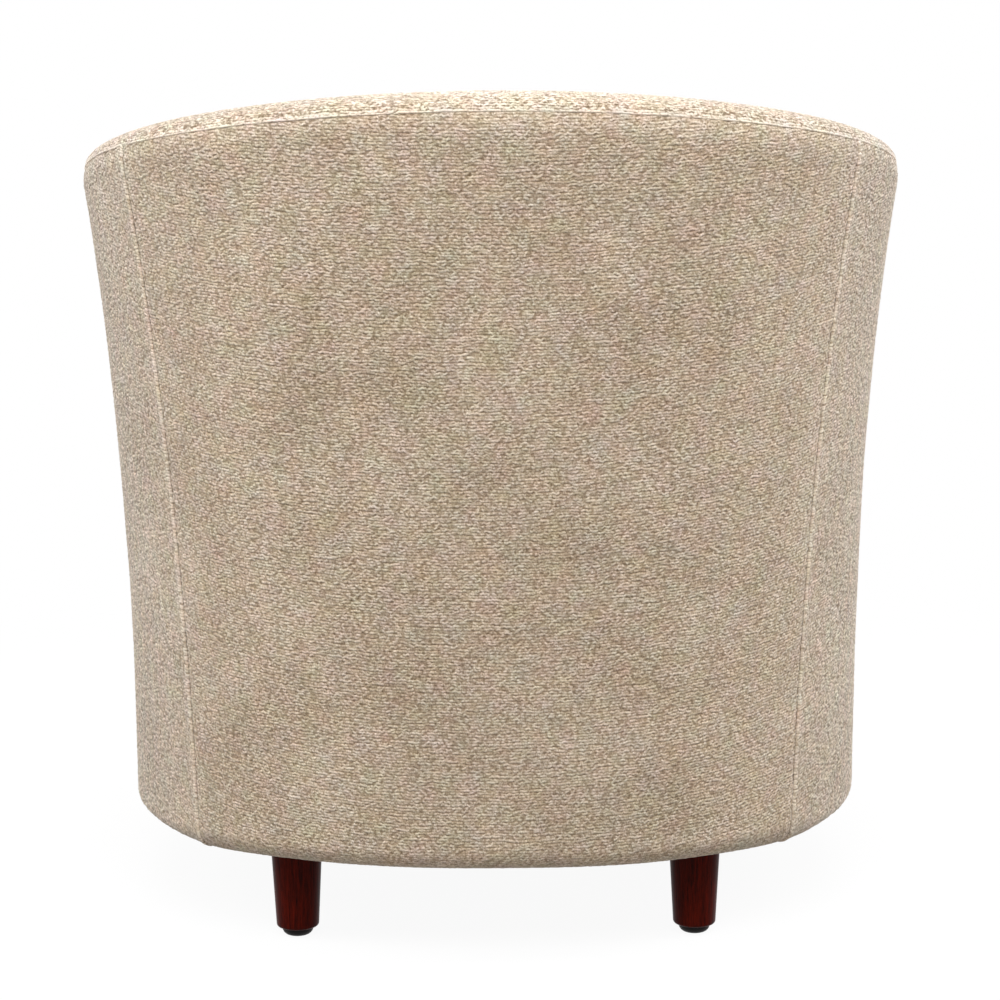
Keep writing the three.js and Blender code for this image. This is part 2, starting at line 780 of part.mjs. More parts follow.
// Padded border across the front below the cushion, between the two facings.
function borderGeometry() {
  const span = wallPoint(halfLength + gap + facingDepth, wallThickness, groundClearance).x - gap;
  const middle = (groundClearance + seatDeckHeight) / 2;
  const rise = (seatDeckHeight - groundClearance) / 2;
  const outline = (inset) => {
    const w = span - inset;
    const h = rise - inset;
    return [
      [-w, middle - h],
      [w, middle - h],
      [w, middle + h],
      [-w, middle + h],
    ];
  };
  const steps = [
    [0, 0],
    [borderDepth / 2, 0],
    [borderDepth * (7 / 8), borderInset / 3],
    [borderDepth, borderInset],
  ];
  const back = -halfDepth + borderDepth;
  const rings = steps.map(([forward, inset]) =>
    outline(inset).map(([x, z]) => new THREE.Vector3(x, back - forward, z)),
  );
  return loft(rings, outline(0), outline(borderInset));
}

// A level plate that fills the plan inside the wall, from a depth in from the wall's outer face.
function plate(inward, low, high, frontY) {
  const outline = cutsBetween(-halfLength, halfLength).map((s) => wallPoint(s, inward, low));
  const shape = new THREE.Shape(outline.map(({ x, y }) => new THREE.Vector2(x, Math.max(y, frontY))));
  const options = { depth: high - low, bevelEnabled: false };
  return new THREE.ExtrudeGeometry(shape, options).translate(0, 0, low);
}

function buildUpholstery() {
  const upholstery = new THREE.Group();
  add(upholstery, 'inside_backing', wallPiece(-halfLength, halfLength, backingSection), 'hessian');
  add(upholstery, 'inside_padding', wallPiece(-halfLength, halfLength, paddingSection), 'foam');
  add(upholstery, 'inside_cover', wallPiece(-halfLength, halfLength, insideCoverSection), 'chenille');
  for (const [side, sign] of sides) {
    add(upholstery, `arm_front_${side}`, facingGeometry(sign), 'chenille');
  }
  add(upholstery, 'front_border', borderGeometry(), 'chenille');
  add(upholstery, 'seat_deck', plate(leafInward, deckLow, seatDeckHeight, armFrontY), 'felt');
  const dustHigh = groundClearance + dustCoverThickness;
  const dustFront = armFrontY + gap;
  const dustHoles = legHoles(boltHoleRadius, groundClearance - overrun, dustHigh + overrun);
  const dustCover = cut(plate(hemWidth + gap, groundClearance, dustHigh, dustFront), ...dustHoles);
  add(upholstery, 'dust_cover', dustCover, 'blackFleece');
  return upholstery;
}

// Loose seat cushion
const cushionLow = seatDeckHeight + gap;
const cushionHigh = cushionLow + seatCushionThickness;
const cushionTopSeam = cushionHigh - cushionCrown;
const cushionWallDepth = wallThickness + cushionEase;
const cushionFrontY = -halfDepth + cushionFrontSet;

// Plan outline: it follows the wall, turns two round corners and bows along the front.
function cushionOutline(inset) {
  const depth = cushionWallDepth + inset;
  const cornerY = cushionFrontY + cushionFrontBow + inset + cushionCorner;
  const wall = cutsBetween(-halfLength, halfLength).map((s) => wallPoint(s, depth, cushionLow));
  const followed = wall.filter((point) => point.y > cornerY + gap).map(({ x, y }) => [x, y]);
  const sideX = wallPoint(halfLength, depth, cushionLow).x;
  const centreX = sideX - cushionCorner;
  const corner = quarter(centreX, cornerY, cushionCorner, -cushionCorner, edgeSteps);
  const bowShares = [3 / 4, 1 / 2, 1 / 4, 0, -1 / 4, -1 / 2, -3 / 4];
  const bow = bowShares.map((share) => {
    const out = cushionFrontBow * (1 - share ** 2);
    return [centreX * share, cornerY - cushionCorner - out];
  });
  const far = corner.map(([x, y]) => [-x, y]).reverse();
  return [...followed, ...corner, ...bow, ...far];
}

// Rings as a share of the outline about the cushion's middle, with heights: a flat underside, a side that
// swells between its two seams, and a crowned top.
function cushionGeometry(inset) {
  const outline = cushionOutline(inset);
  const middle = new THREE.Vector2(0, (cushionFrontY + wallPoint(0, cushionWallDepth, cushionLow).y) / 2);
  const low = cushionLow + inset;
  const seam = cushionTopSeam - inset;
  const crown = cushionHigh - cushionTopSeam;
  const seamShare = 0.985;
  const flatShares = [0.5, 0.95];
  const topShares = [0.93, 0.8, 0.58, 0.3];
  const rows = [
    ...flatShares.map((share) => [share, low]),
    [seamShare, low + cushionLowSeam],
    [1, (low + seam) / 2],
    [seamShare, seam],
    ...topShares.map((share) => [share, seam + crown * (1 - share ** 3)]),
  ];
  const rings = rows.map(([share, z]) =>
    outline.map(([x, y]) => new THREE.Vector3(x * share, middle.y + (y - middle.y) * share, z)),
  );
  const bottom = new THREE.Vector3(0, middle.y, low);
  return closedLoft(bottom, rings, new THREE.Vector3(0, middle.y, seam + crown));
}

// A band along the back of the cushion's side.
function cushionBand(halfSpan, near, far, low, high) {
  const section = [
    [near, low],
    [far, low],
    [far, high],
    [near, high],
  ];
  const cuts = cutsBetween(-halfSpan, halfSpan);
  const rings = cuts.map((s) => section.map(([inward, z]) => wallPoint(s, inward, z, cushionLow)));
  return loft(rings, section, section);
}

function buildCushion() {
  const cushion = new THREE.Group();
  const middle = (cushionLow + cushionTopSeam) / 2;
  const slotHalf = zipWidth / 2;
  const near = cushionWallDepth;
  const through = near + cushionCoverThickness + overrun;
  const slot = cushionBand(zipLength / 2, near - overrun, through, middle - slotHalf, middle + slotHalf);
  const cover = cut(cushionGeometry(0), cushionGeometry(cushionCoverThickness), slot);
  add(cushion, 'seat_cushion_cover', cover, 'chenille');
  add(cushion, 'seat_cushion_core', cushionGeometry(cushionCoverThickness + gap), 'foam');
  const tapeFar = near + cushionCoverThickness;
  const tapeNear = tapeFar - zipThickness;
  const tapeHalf = slotHalf - gap;
  const tape = cushionBand(zipLength / 2 - gap, tapeNear, tapeFar, middle - tapeHalf, middle + tapeHalf);
  add(cushion, 'seat_cushion_zip', tape, 'zipTape');
  return cushion;
}

chair.add(buildFrame(), buildBlocks(), buildLegs(), buildSprings());
chair.add(buildOutside(), buildUpholstery(), buildCushion());

export default chair;
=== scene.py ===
# %% [markdown]
# # A tub chair in beige chenille
# A tub chair is one padded wall that runs round the back and both arms, with a loose cushion inside it. Its
# frame of rails, posts and springs is already built to size. This lesson covers it in cloth, stains its
# legs, lights it and looks at it from behind. Nothing here moves or resizes the frame: each new piece is
# worked out in metres in the frame's own coordinates, so it lies where the real one does.

# %% Load the frame
import math
import time

import bpy
import numpy as np
from mathutils import Matrix, Vector


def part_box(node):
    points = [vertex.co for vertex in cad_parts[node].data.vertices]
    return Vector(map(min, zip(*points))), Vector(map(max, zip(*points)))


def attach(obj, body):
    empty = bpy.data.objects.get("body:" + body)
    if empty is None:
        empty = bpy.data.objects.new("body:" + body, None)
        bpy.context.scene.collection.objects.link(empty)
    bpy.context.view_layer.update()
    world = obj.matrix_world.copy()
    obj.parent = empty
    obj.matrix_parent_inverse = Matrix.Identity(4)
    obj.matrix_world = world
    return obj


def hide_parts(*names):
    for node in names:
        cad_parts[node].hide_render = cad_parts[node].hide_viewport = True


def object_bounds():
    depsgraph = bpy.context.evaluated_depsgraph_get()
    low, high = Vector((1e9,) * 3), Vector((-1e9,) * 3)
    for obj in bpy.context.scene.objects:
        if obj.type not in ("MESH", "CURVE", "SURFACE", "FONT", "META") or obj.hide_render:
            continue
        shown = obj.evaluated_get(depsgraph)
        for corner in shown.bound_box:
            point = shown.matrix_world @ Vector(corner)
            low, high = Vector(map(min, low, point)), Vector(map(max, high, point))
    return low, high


MM = 0.001

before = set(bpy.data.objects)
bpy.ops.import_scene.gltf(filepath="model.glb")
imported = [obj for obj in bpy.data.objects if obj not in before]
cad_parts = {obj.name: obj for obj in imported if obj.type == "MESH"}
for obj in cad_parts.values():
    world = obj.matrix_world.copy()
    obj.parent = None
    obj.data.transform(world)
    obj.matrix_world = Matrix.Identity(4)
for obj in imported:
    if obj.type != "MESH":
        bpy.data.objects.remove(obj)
cad_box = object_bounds()
print("frame box, m:", [[round(value, 4) for value in corner] for corner in cad_box])

# %% [markdown]
# ## Camera
# The chair was seen square from behind and a little from above, from about two metres. A lens of 86 mm on a
# sensor of 36 mm gives that flat perspective. The picture leans by half a degree and its middle lies a few
# pixels to the left, which a roll and a small shift give.

# %% Camera
CAMERA_PLACE = (0.0, 2.377, 0.693)
CAMERA_TILT = math.radians(-7.56)
CAMERA_ROLL = math.radians(-0.42)
CAMERA_LENS = 86.4
CAMERA_SENSOR = 36.0
PICTURE_SHIFT = 0.007  # share of the picture's width

camera_data = bpy.data.cameras.new("camera")
camera_data.lens = CAMERA_LENS
camera_data.sensor_width = CAMERA_SENSOR
camera_data.shift_x = PICTURE_SHIFT
camera = bpy.data.objects.new("camera", camera_data)
bpy.context.scene.collection.objects.link(camera)
facing_chair = Matrix.Rotation(math.pi, 4, "Z") @ Matrix.Rotation(math.pi / 2 + CAMERA_TILT, 4, "X")
camera.matrix_world = (
    Matrix.Translation(CAMERA_PLACE) @ facing_chair @ Matrix.Rotation(CAMERA_ROLL, 4, "Z")
)
bpy.context.scene.camera = camera

# %% [markdown]
# ## The plan
# Everything upholstered follows one line on the floor. Half of it is a quarter of a superellipse, from the
# middle of the back to the widest place, and then an arm that draws in a little along an S. A table of
# points one millimetre apart turns a length along that line into a place and a direction, so all other
# shapes can be functions of "how far along the wall". They are built from a few small curves, which come
# first.

# %% Small curves


def unit(value):
    """Held between 0 and 1."""
    return np.clip(value, 0, 1)


def ease(share):
    """From 0 to 1 with level ends: 3 t^2 - 2 t^3."""
    return share * share * (3 - 2 * share)


def half_wave(share):
    """From 0 to 1 along half a cosine wave."""
    return (1 - np.cos(math.pi * share)) / 2


def bell(distance, width):
    """1 in the middle and 1 / e at a width from it."""
    return np.exp(-((distance / width) ** 2))


def columns(*parts):
    """Coordinates side by side, spread over each other's rows and columns."""
    return np.stack(np.broadcast_arrays(*parts), -1)


def run_up(steps):
    """Length so far at each point, from the steps between the points."""
    return np.concatenate([[0], np.cumsum(steps)])


# %% The plan as a table
BODY_HALF_WIDTH = 364.5 * MM  # of the tub at its lower edge
BACK_REACH = 385 * MM  # from the widest place to the rear, at the lower edge
BACK_SQUARENESS = 2.36  # 2 is an ellipse, more is squarer
ARM_TOE_IN = 12 * MM
FLARE = 46.5 * MM  # how far the wall leans out at the rail
GAP = 0.3 * MM  # between pieces that touch
PLAN_STEP = 1 * MM
BACK_POINTS, ARM_POINTS = 6000, 500  # worked out before they are spaced evenly

widest_y = cad_box[1].y - BACK_REACH - FLARE
arm_front_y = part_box("inside_cover")[0].y


def plan_table():
    """Places and outward directions along half the plan, one step apart.

    Back: x = A sin(t)^(2/n), y = widest + B cos(t)^(2/n). Arm: x = A - toe (1 - cos(pi share)) / 2.
    The outward direction is the run of the line turned by a right angle.
    """
    angle = np.linspace(0, math.pi / 2, BACK_POINTS)
    share = np.linspace(0, 1, ARM_POINTS)[1:]
    x = np.concatenate([BODY_HALF_WIDTH * np.sin(angle) ** (2 / BACK_SQUARENESS),
                        BODY_HALF_WIDTH - ARM_TOE_IN * half_wave(share)])
    y = np.concatenate([widest_y + BACK_REACH * np.cos(angle) ** (2 / BACK_SQUARENESS),
                        widest_y - (widest_y - arm_front_y) * share])
    length = run_up(np.hypot(np.diff(x), np.diff(y)))
    even = np.linspace(0, length[-1], int(length[-1] / PLAN_STEP))
    x = np.interp(even, length, x)
    y = np.interp(even, length, y)
    run = columns(np.gradient(x, even), np.gradient(y, even))
    run /= np.linalg.norm(run, axis=1, keepdims=True)
    return even, x, y, -run[:, 1], run[:, 0]


PLAN = plan_table()
HALF_LENGTH = PLAN[0][-1]
print(f"wall length from the middle of the back to an arm front: {HALF_LENGTH:.4f} m")


# %% The wall as a function
GROUND_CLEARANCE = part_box("outside_back_panel")[0].z
RAIL_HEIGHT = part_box("outside_back_panel")[1].z + GAP  # at the middle of the back
RAIL_FALL = 72 * MM  # how much lower it is at the arm fronts
FLARE_EXPONENT = 2.35


def plan(s):
    """Place and outward direction at a signed length s from the middle of the back, positive on the left.

    Past an arm front the line runs straight on.
    """
    reach = np.abs(s)
    side = np.where(s < 0, -1.0, 1.0)
    x, y, out_x, out_y = (np.interp(reach, PLAN[0], column) for column in PLAN[1:])
    return side * x, y - np.maximum(reach - HALF_LENGTH, 0), side * out_x, out_y


def height_share(z):
    """0 at the lower edge of the cover and 1 at the back's rail seam."""
    return (z - GROUND_CLEARANCE) / (RAIL_HEIGHT - GROUND_CLEARANCE)


def rail(s):
    """Height of the rail seam: level at the back, then down one half wave to the arm fronts."""
    return RAIL_HEIGHT - RAIL_FALL * half_wave(np.minimum(np.abs(s) / HALF_LENGTH, 1))


def wall(s, inward, z, lean_z=None):
    """Points of the wall at a length along it, a depth in from its outer face and a height.

    The wall leans out by flare times (share of the height) to the exponent.
    """
    x, y, out_x, out_y = plan(np.asarray(s, float))
    out = FLARE * unit(height_share(z if lean_z is None else lean_z)) ** FLARE_EXPONENT - inward
    return columns(x + out_x * out, y + out_y * out, z)


# %% [markdown]
# ## From arrays to meshes
# A grid of points becomes a mesh in four steps: number the points, make one quad for each cell, close the
# shape, and hand whole arrays to Blender. A cloth cover is a thin closed shell, so its outer grid is fine,
# its inner grid coarse, and the four borders between them are zipped together by triangles. A cushion is a
# box of grids: a bottom, a top and the rings of its side. The sign of the enclosed volume tells whether the
# faces point out.

# %% Grids, shells and boxes


def numbered(grid, first=0):
    """Vertex numbers of a grid of points, as a grid."""
    return first + np.arange(grid[..., 0].size).reshape(grid.shape[:2])


def grid_quads(index):
    """One quad for each cell of a grid of vertex numbers, all turned the same way."""
    return columns(index[:-1, :-1], index[1:, :-1], index[1:, 1:], index[:-1, 1:]).reshape(-1, 4)


def stitch(a, b):
    """Triangles between two rows of vertices with different counts.

    The steps of both rows are sorted by their share of the way, and each step makes one triangle with the
    vertex that the other row has reached.
    """
    way = np.concatenate([np.arange(1, len(a)) / (len(a) - 1), np.arange(1, len(b)) / (len(b) - 1)])
    on_a = np.arange(len(way)) < len(a) - 1
    on_a = on_a[np.argsort(way, kind="stable")]
    at_a = np.cumsum(on_a) - on_a
    at_b = np.cumsum(~on_a) - ~on_a
    next_a = a[np.minimum(at_a + 1, len(a) - 1)]
    next_b = b[np.minimum(at_b + 1, len(b) - 1)]
    return np.where(on_a[:, None], columns(next_a, a[at_a], b[at_b]), columns(b[at_b], next_b, a[at_a]))


def borders(index):
    """The four edges of a grid of vertex numbers, in the order of a walk round it."""
    return [index[:, 0], index[-1, :], index[::-1, -1], index[0, ::-1]]


def walk_round(index):
    """The vertices on the edge of a grid as one open loop."""
    return np.concatenate([index[:, 0], index[-1, 1:], index[-2::-1, -1], index[0, -2:0:-1]])


def joined(*grids):
    """The rows of several grids as one list of points."""
    return np.concatenate([grid.reshape(-1, grid.shape[-1]) for grid in grids])


def shell(outer, inner, uv_outer, uv_inner):
    """A closed shell between two grids of points whose corners correspond. Returns points, faces and UVs."""
    front = numbered(outer)
    back = numbered(inner, front.size)
    rim = np.concatenate([stitch(a, b) for a, b in zip(borders(front), borders(back))])
    faces = [grid_quads(front), grid_quads(back)[:, ::-1], rim]
    uv = joined(uv_outer, uv_inner)
    return joined(outer, inner), faces, [uv[face] for face in faces]


def boxed(bottom, rings, top):
    """A closed pad from two grids and the rings of its side. UVs are metres, in plan and round the side."""
    low = numbered(bottom)
    high = low + low.size
    side = np.vstack([walk_round(low), numbered(rings, 2 * low.size), walk_round(high)])
    side = np.hstack([side, side[:, :1]])
    points = joined(bottom, top, rings)
    up, round_it = (run_up(np.linalg.norm(np.diff(points[side], axis=axis), axis=2).mean(1 - axis))
                    for axis in (0, 1))
    side_uv = columns(round_it[None, :], up[:, None])
    narrowest = int(np.argmin(np.ptp(points, axis=0)))
    keep = [axis for axis in range(3) if axis != narrowest]
    faces = [grid_quads(low)[:, ::-1], grid_quads(high), grid_quads(side)[:, ::-1]]
    side_quads = grid_quads(numbered(side_uv))[:, ::-1]
    return points, faces, [*(points[face][..., keep] for face in faces[:2]), joined(side_uv)[side_quads]]


def make_piece(name, points, faces, uvs=None, **shares):
    """Puts whole arrays into a new mesh object, turned so that the enclosed volume is positive.

    Each further array holds one number for each point and becomes an attribute of that name.
    """
    halves = [face[:, [0, 2, 3]] for face in faces if face.shape[1] == 4]
    triangles = np.concatenate([face[:, :3] for face in faces] + halves)
    a, b, c = (points[triangles[:, k]] for k in range(3))
    volume = np.einsum("ij,ij->i", a, np.cross(b, c)).sum() / 6
    if volume < 0:
        faces = [face[:, ::-1] for face in faces]
        uvs = None if uvs is None else [uv[:, ::-1] for uv in uvs]
    sizes = np.concatenate([np.full(len(face), face.shape[1]) for face in faces])
    loops = np.concatenate([face.ravel() for face in faces]).astype(np.int32)
    mesh = bpy.data.meshes.new(name)
    mesh.vertices.add(len(points))
    mesh.vertices.foreach_set("co", points.astype(np.float32).ravel())
    mesh.loops.add(len(loops))
    mesh.loops.foreach_set("vertex_index", loops)
    mesh.polygons.add(len(sizes))
    mesh.polygons.foreach_set("loop_start", (np.cumsum(sizes) - sizes).astype(np.int32))
    mesh.update(calc_edges=True)
    if uvs is not None:
        layer = mesh.uv_layers.new(name="cloth")
        layer.uv.foreach_set("vector", np.concatenate([uv.ravel() for uv in uvs]).astype(np.float32))
    for share_name, values in shares.items():
        attribute = mesh.attributes.new(share_name, "FLOAT", "POINT")
        attribute.data.foreach_set("value", values.astype(np.float32).ravel())
    mesh.shade_smooth()
    piece = bpy.data.objects.new(name, mesh)
    bpy.context.scene.collection.objects.link(piece)
    print(f"{name}: {len(triangles)} triangles, {abs(volume) * 1000:.2f} litres")
    return piece


# %% [markdown]
# ## Materials as recipes
# Colours are written as the sRGB hex values that a paint chart would give, and Blender works in linear
# light, so one function converts them. The others add a node with its settings and links, which keeps a
# material as short as a recipe. A recipe gets an empty tree and the place in the object, in metres.

# %% Helpers for recipes


def linear(hex_colour):
    """sRGB hex to linear: a straight line near black, and a power of 2.4 above it."""
    parts = [int(hex_colour[i : i + 2], 16) / 255 for i in (1, 3, 5)]
    return tuple(c / 12.92 if c <= 0.04045 else ((c + 0.055) / 1.055) ** 2.4 for c in parts) + (1.0,)


def add(tree, kind, inputs=None, **settings):
    """Adds a node. An input is a value, a hex colour, a socket, or a node, whose first output is meant."""
    node = tree.nodes.new(kind)
    for name, value in settings.items():
        setattr(node, name, value)
    for key, value in (inputs or {}).items():
        if isinstance(value, bpy.types.Node):
            value = value.outputs[0]
        if isinstance(value, bpy.types.NodeSocket):
            tree.links.new(value, node.inputs[key])
        else:
            is_hex = isinstance(value, str) and value.startswith("#")
            node.inputs[key].default_value = linear(value) if is_hex else value
    return node


def maths(tree, operation, *values, **settings):
    """A maths node on one, two or three values."""
    return add(tree, "ShaderNodeMath", dict(enumerate(values)), operation=operation, **settings)


def scaled(tree, value, factor, offset, **settings):
    """value x factor + offset."""
    return maths(tree, "MULTIPLY_ADD", value, factor, offset, **settings)


def noise(tree, place, size, detail=2.0, flat=False, **inputs):
    """Noise with lumps of about a size in metres, or of three sizes along the axes."""
    if isinstance(size, tuple):
        place = add(tree, "ShaderNodeMapping", {"Vector": place, "Scale": [1 / length for length in size]})
        size = 1.0
    return add(tree, "ShaderNodeTexNoise", {"Vector": place, "Scale": 1 / size, "Detail": detail, **inputs},
               noise_dimensions="2D" if flat else "3D")


def blend(tree, share, low, high):
    """Two colours mixed by a share."""
    return add(tree, "ShaderNodeMix", {0: share, 6: low, 7: high}, data_type="RGBA").outputs[2]


def ramp(tree, tone, stops):
    """Colours at places along a tone, and blends between them."""
    node = add(tree, "ShaderNodeValToRGB", {0: tone})
    elements = node.color_ramp.elements
    for element, (position, colour) in zip(elements, (stops[0], stops[-1])):
        element.position = position
        element.color = linear(colour)
    for position, colour in stops[1:-1]:
        elements.new(position).color = linear(colour)
    return node


def surface(tree, colour, roughness, relief=None, depth=0.0, specular=0.5, **more):
    """Ends a recipe: colour, roughness and a relief with a depth in metres go to the shader."""
    inputs = {"Base Color": colour, "Roughness": roughness, "Specular IOR Level": specular}
    inputs.update({name.replace("_", " ").title(): value for name, value in more.items()})
    if relief is not None:
        inputs["Normal"] = add(tree, "ShaderNodeBump", {"Height": relief, "Distance": depth})
    add(tree, "ShaderNodeOutputMaterial", {0: add(tree, "ShaderNodeBsdfPrincipled", inputs)})


def finish(recipe):
    """A new material that has its recipe's name."""
    material = bpy.data.materials.new(recipe.__name__)
    material.use_nodes = True
    tree = material.node_tree
    tree.nodes.clear()
    recipe(tree, add(tree, "ShaderNodeTexCoord").outputs["Object"])
    print(material.name, "has", len(tree.nodes), "nodes")
    return material


# %% [markdown]
# ## Chenille
# Chenille is woven from a yarn with short pile standing out all round it, like a caterpillar. The yarns lie
# in rows: each shows as a run of soft wavy lozenges about 8 mm long with a dark gap above and below. A
# plain wave texture would be far too regular, so the rows are worked out by a formula. Three neighbouring
# rows are looked at for each point. Each row wanders up and down and swells and thins by noise of its own,
# and the highest of the three wins, which is how real yarns press past each other. The same formula raises
# the mesh and colours it, darker in the gaps between yarns as painted shade on top of the real relief, so it
# is one function for both kinds of node tree.

# %% The yarn field
YARN_PITCH = 2.65 * MM  # from row to row
YARN_WAVE = 3.5 * MM  # length over which a yarn wanders and swells
YARN_HALF = 0.52  # half width of a yarn, in rows
YARN_WANDER = 1.3  # how far a yarn strays, in rows
YARN_SWELL = 2.0  # how much its thickness varies
YARN_LEAST = -0.3  # added to that, so that only the thinnest places vanish
ROW_DRIFT = 32 * MM  # length over which whole rows drift
DRIFT_ROWS = 1.3  # how far they drift, in rows
ROW_SEED = 5.37  # step in the noise from one row to the next


def yarn_field(tree, place):
    """Height of the yarn, 0 to 1, at a place given in metres along and across the rows.

    height = max over rows of swell sqrt(1 - ((offset - wander) / half width)^2).
    """
    along, across = add(tree, "ShaderNodeSeparateXYZ", {0: place}).outputs[:2]
    drift = maths(tree, "MULTIPLY", noise(tree, place, ROW_DRIFT, 1.0, flat=True), DRIFT_ROWS)
    rows = scaled(tree, across, 1 / YARN_PITCH, drift)
    row = maths(tree, "FLOOR", rows)
    offset = maths(tree, "FRACT", rows)
    wave = maths(tree, "MULTIPLY", along, 1 / YARN_WAVE)
    highest = None
    for step in (-1, 0, 1):
        own = scaled(tree, row, ROW_SEED, ROW_SEED * step)
        shades = noise(tree, add(tree, "ShaderNodeCombineXYZ", {0: wave, 1: own}), 1.0, 1.0, flat=True)
        shades = add(tree, "ShaderNodeSeparateXYZ", {0: shades.outputs[1]}).outputs
        wander = scaled(tree, shades[0], YARN_WANDER, step + 0.5 - YARN_WANDER / 2)
        away = maths(tree, "DIVIDE", maths(tree, "SUBTRACT", offset, wander), YARN_HALF)
        inside = maths(tree, "SUBTRACT", 1.0, maths(tree, "MULTIPLY", away, away), use_clamp=True)
        swell = scaled(tree, shades[1], YARN_SWELL, YARN_LEAST, use_clamp=True)
        height = maths(tree, "MULTIPLY", maths(tree, "SQRT", inside), swell)
        highest = height if highest is None else maths(tree, "MAXIMUM", highest, height)
    return highest


# %% The chenille finish
# the darkest stop is painted shade in the gaps between the yarns, on top of the pile's real relief
CLOTH_TONES = [(0.0, "#75634c"), (0.42, "#b6a48d"), (0.9, "#f1e6d6")]
MIDDLE_TONE = 0.42
FIBRE = 0.8 * MM  # tufts within the pile, drawn a little coarser than real fibres so that they show; their pale peaks are painted glints
FIBRE_AND_GLINT_TONE = 1.3
BRUSHED = 11 * MM  # patches where the pile was stroked one way and its rows are less plain
BRUSHED_TONE = (0.7, 0.17)  # how plain the rows are: noise times the first plus the second
STROKED = 90 * MM  # wide patches where hands have stroked the pile paler or darker
STROKE_TONE = 0.36
DYE_PATCH = 18 * MM  # patches in which the two spun yarns take the dye a little pinker or greener
DYE_SPREAD = (0.26, 0.16, 0.26)
DYE_BASE = (0.905, 0.92, 0.85)
ARM_PAINTED_CONTRAST = 1.0  # painted light and shade: on the arms and the rail the tufts and gaps are painted with more contrast, standing in for the stronger shading of a pile seen at a slant
RAIL_PAINTED_CONTRAST = 0.9
ARM_PILE = 1.5  # the pile stands higher there too
# painted light and shade: how much more the yarn tone varies on the arms and the rail
EXTRA_PAINTED_CONTRAST = 0.5
TUFT_SIZE = (8.0 * MM, 2.6 * MM, 1.0)  # along and across the rows
# painted light and shade of the tufts on the arms and the rail
TUFT_LIGHT_AND_SHADE = 1.0
FOLD_LIGHT_AND_SHADE = 0.28  # painted highlight: how much paler a folded edge is painted, as if it caught the light; where the fold share is negative it paints shade instead
CLOTH_RELIEF = 0.6 * MM


def beige_chenille(tree, spot):
    """Rayon and cotton chenille, woven and brushed: matt, with a soft bright edge from its fibres."""
    place = add(tree, "ShaderNodeUVMap", uv_map="cloth")
    opened, fold = (add(tree, "ShaderNodeAttribute", attribute_name=name).outputs["Fac"]
                    for name in ("opened", "fold"))
    yarn = yarn_field(tree, place)
    # fine fibre tone: random tufts, and painted glints where it peaks
    fibre = noise(tree, spot, FIBRE, Roughness=0.6)
    brushed = noise(tree, spot, BRUSHED, Roughness=0.55)
    stroked = noise(tree, spot, STROKED, 4.0, Roughness=0.7)
    clump = noise(tree, place, TUFT_SIZE, 1.0, flat=True)
    # low yarn height is painted darker: painted shade in the gaps between yarns
    level = scaled(tree, maths(tree, "ADD", yarn, -0.5), scaled(tree, brushed, *BRUSHED_TONE),
                   scaled(tree, fibre, FIBRE_AND_GLINT_TONE, -FIBRE_AND_GLINT_TONE / 2))
    # painted light and shade: tufts and a stronger yarn tone on the arms and the rail
    tufts = maths(tree, "MULTIPLY", scaled(tree, clump, TUFT_LIGHT_AND_SHADE, -TUFT_LIGHT_AND_SHADE / 2), opened)
    shown = scaled(tree, level, scaled(tree, opened, EXTRA_PAINTED_CONTRAST, 1.0), tufts)
    middle = scaled(tree, stroked, STROKE_TONE, MIDDLE_TONE - STROKE_TONE / 2)
    # painted light and shade: paler where a fold is painted lit, darker where a seam's crack is painted in
    # shade
    tone = maths(tree, "ADD", shown, scaled(tree, fold, FOLD_LIGHT_AND_SHADE, middle))
    dye = noise(tree, spot, DYE_PATCH)
    tint = add(tree, "ShaderNodeVectorMath", {0: dye.outputs[1], 1: DYE_SPREAD, 2: DYE_BASE},
               operation="MULTIPLY_ADD")
    colour = add(tree, "ShaderNodeVectorMath", {0: ramp(tree, tone, CLOTH_TONES), 1: tint},
                 operation="MULTIPLY")
    surface(tree, colour, 0.9, scaled(tree, fibre, 0.5, yarn), CLOTH_RELIEF, 0.2,
            sheen_weight=0.5, sheen_roughness=0.4)


CHENILLE = finish(beige_chenille)

# %% Real pile
PILE_HEIGHT = 0.85 * MM
PILE_SUNK = 0.55  # share of its height that lies below the cloth's own surface


def pile_tree():
    """Geometry nodes that lift each vertex along its normal by pile height x yarn height x its own share."""
    tree = bpy.data.node_groups.new("pile", "GeometryNodeTree")
    for in_out in ("INPUT", "OUTPUT"):
        tree.interface.new_socket("Geometry", in_out=in_out, socket_type="NodeSocketGeometry")
    place = add(tree, "GeometryNodeInputNamedAttribute", {"Name": "cloth"}, data_type="FLOAT_VECTOR")
    share = add(tree, "GeometryNodeInputNamedAttribute", {"Name": "pile"}, data_type="FLOAT")
    height = scaled(tree, yarn_field(tree, place), PILE_HEIGHT, -PILE_SUNK * PILE_HEIGHT)
    offset = add(tree, "ShaderNodeVectorMath", {0: add(tree, "GeometryNodeInputNormal"),
                                                "Scale": maths(tree, "MULTIPLY", height, share)},
                 operation="SCALE")
    moved = add(tree, "GeometryNodeSetPosition", {"Geometry": add(tree, "NodeGroupInput"), "Offset": offset})
    add(tree, "NodeGroupOutput", {0: moved})
    return tree


PILE_TREE = pile_tree()


def raise_pile(piece):
    """Applies the pile to a piece's mesh, so that the yarns are real geometry."""
    piece.modifiers.new("pile", "NODES").node_group = PILE_TREE
    graph = bpy.context.evaluated_depsgraph_get()
    raised = bpy.data.meshes.new_from_object(piece.evaluated_get(graph), preserve_all_data_layers=True,
                                             depsgraph=graph)
    piece.modifiers.clear()
    smooth = piece.data
    piece.data = raised
    bpy.data.meshes.remove(smooth)
    raised.name = piece.name


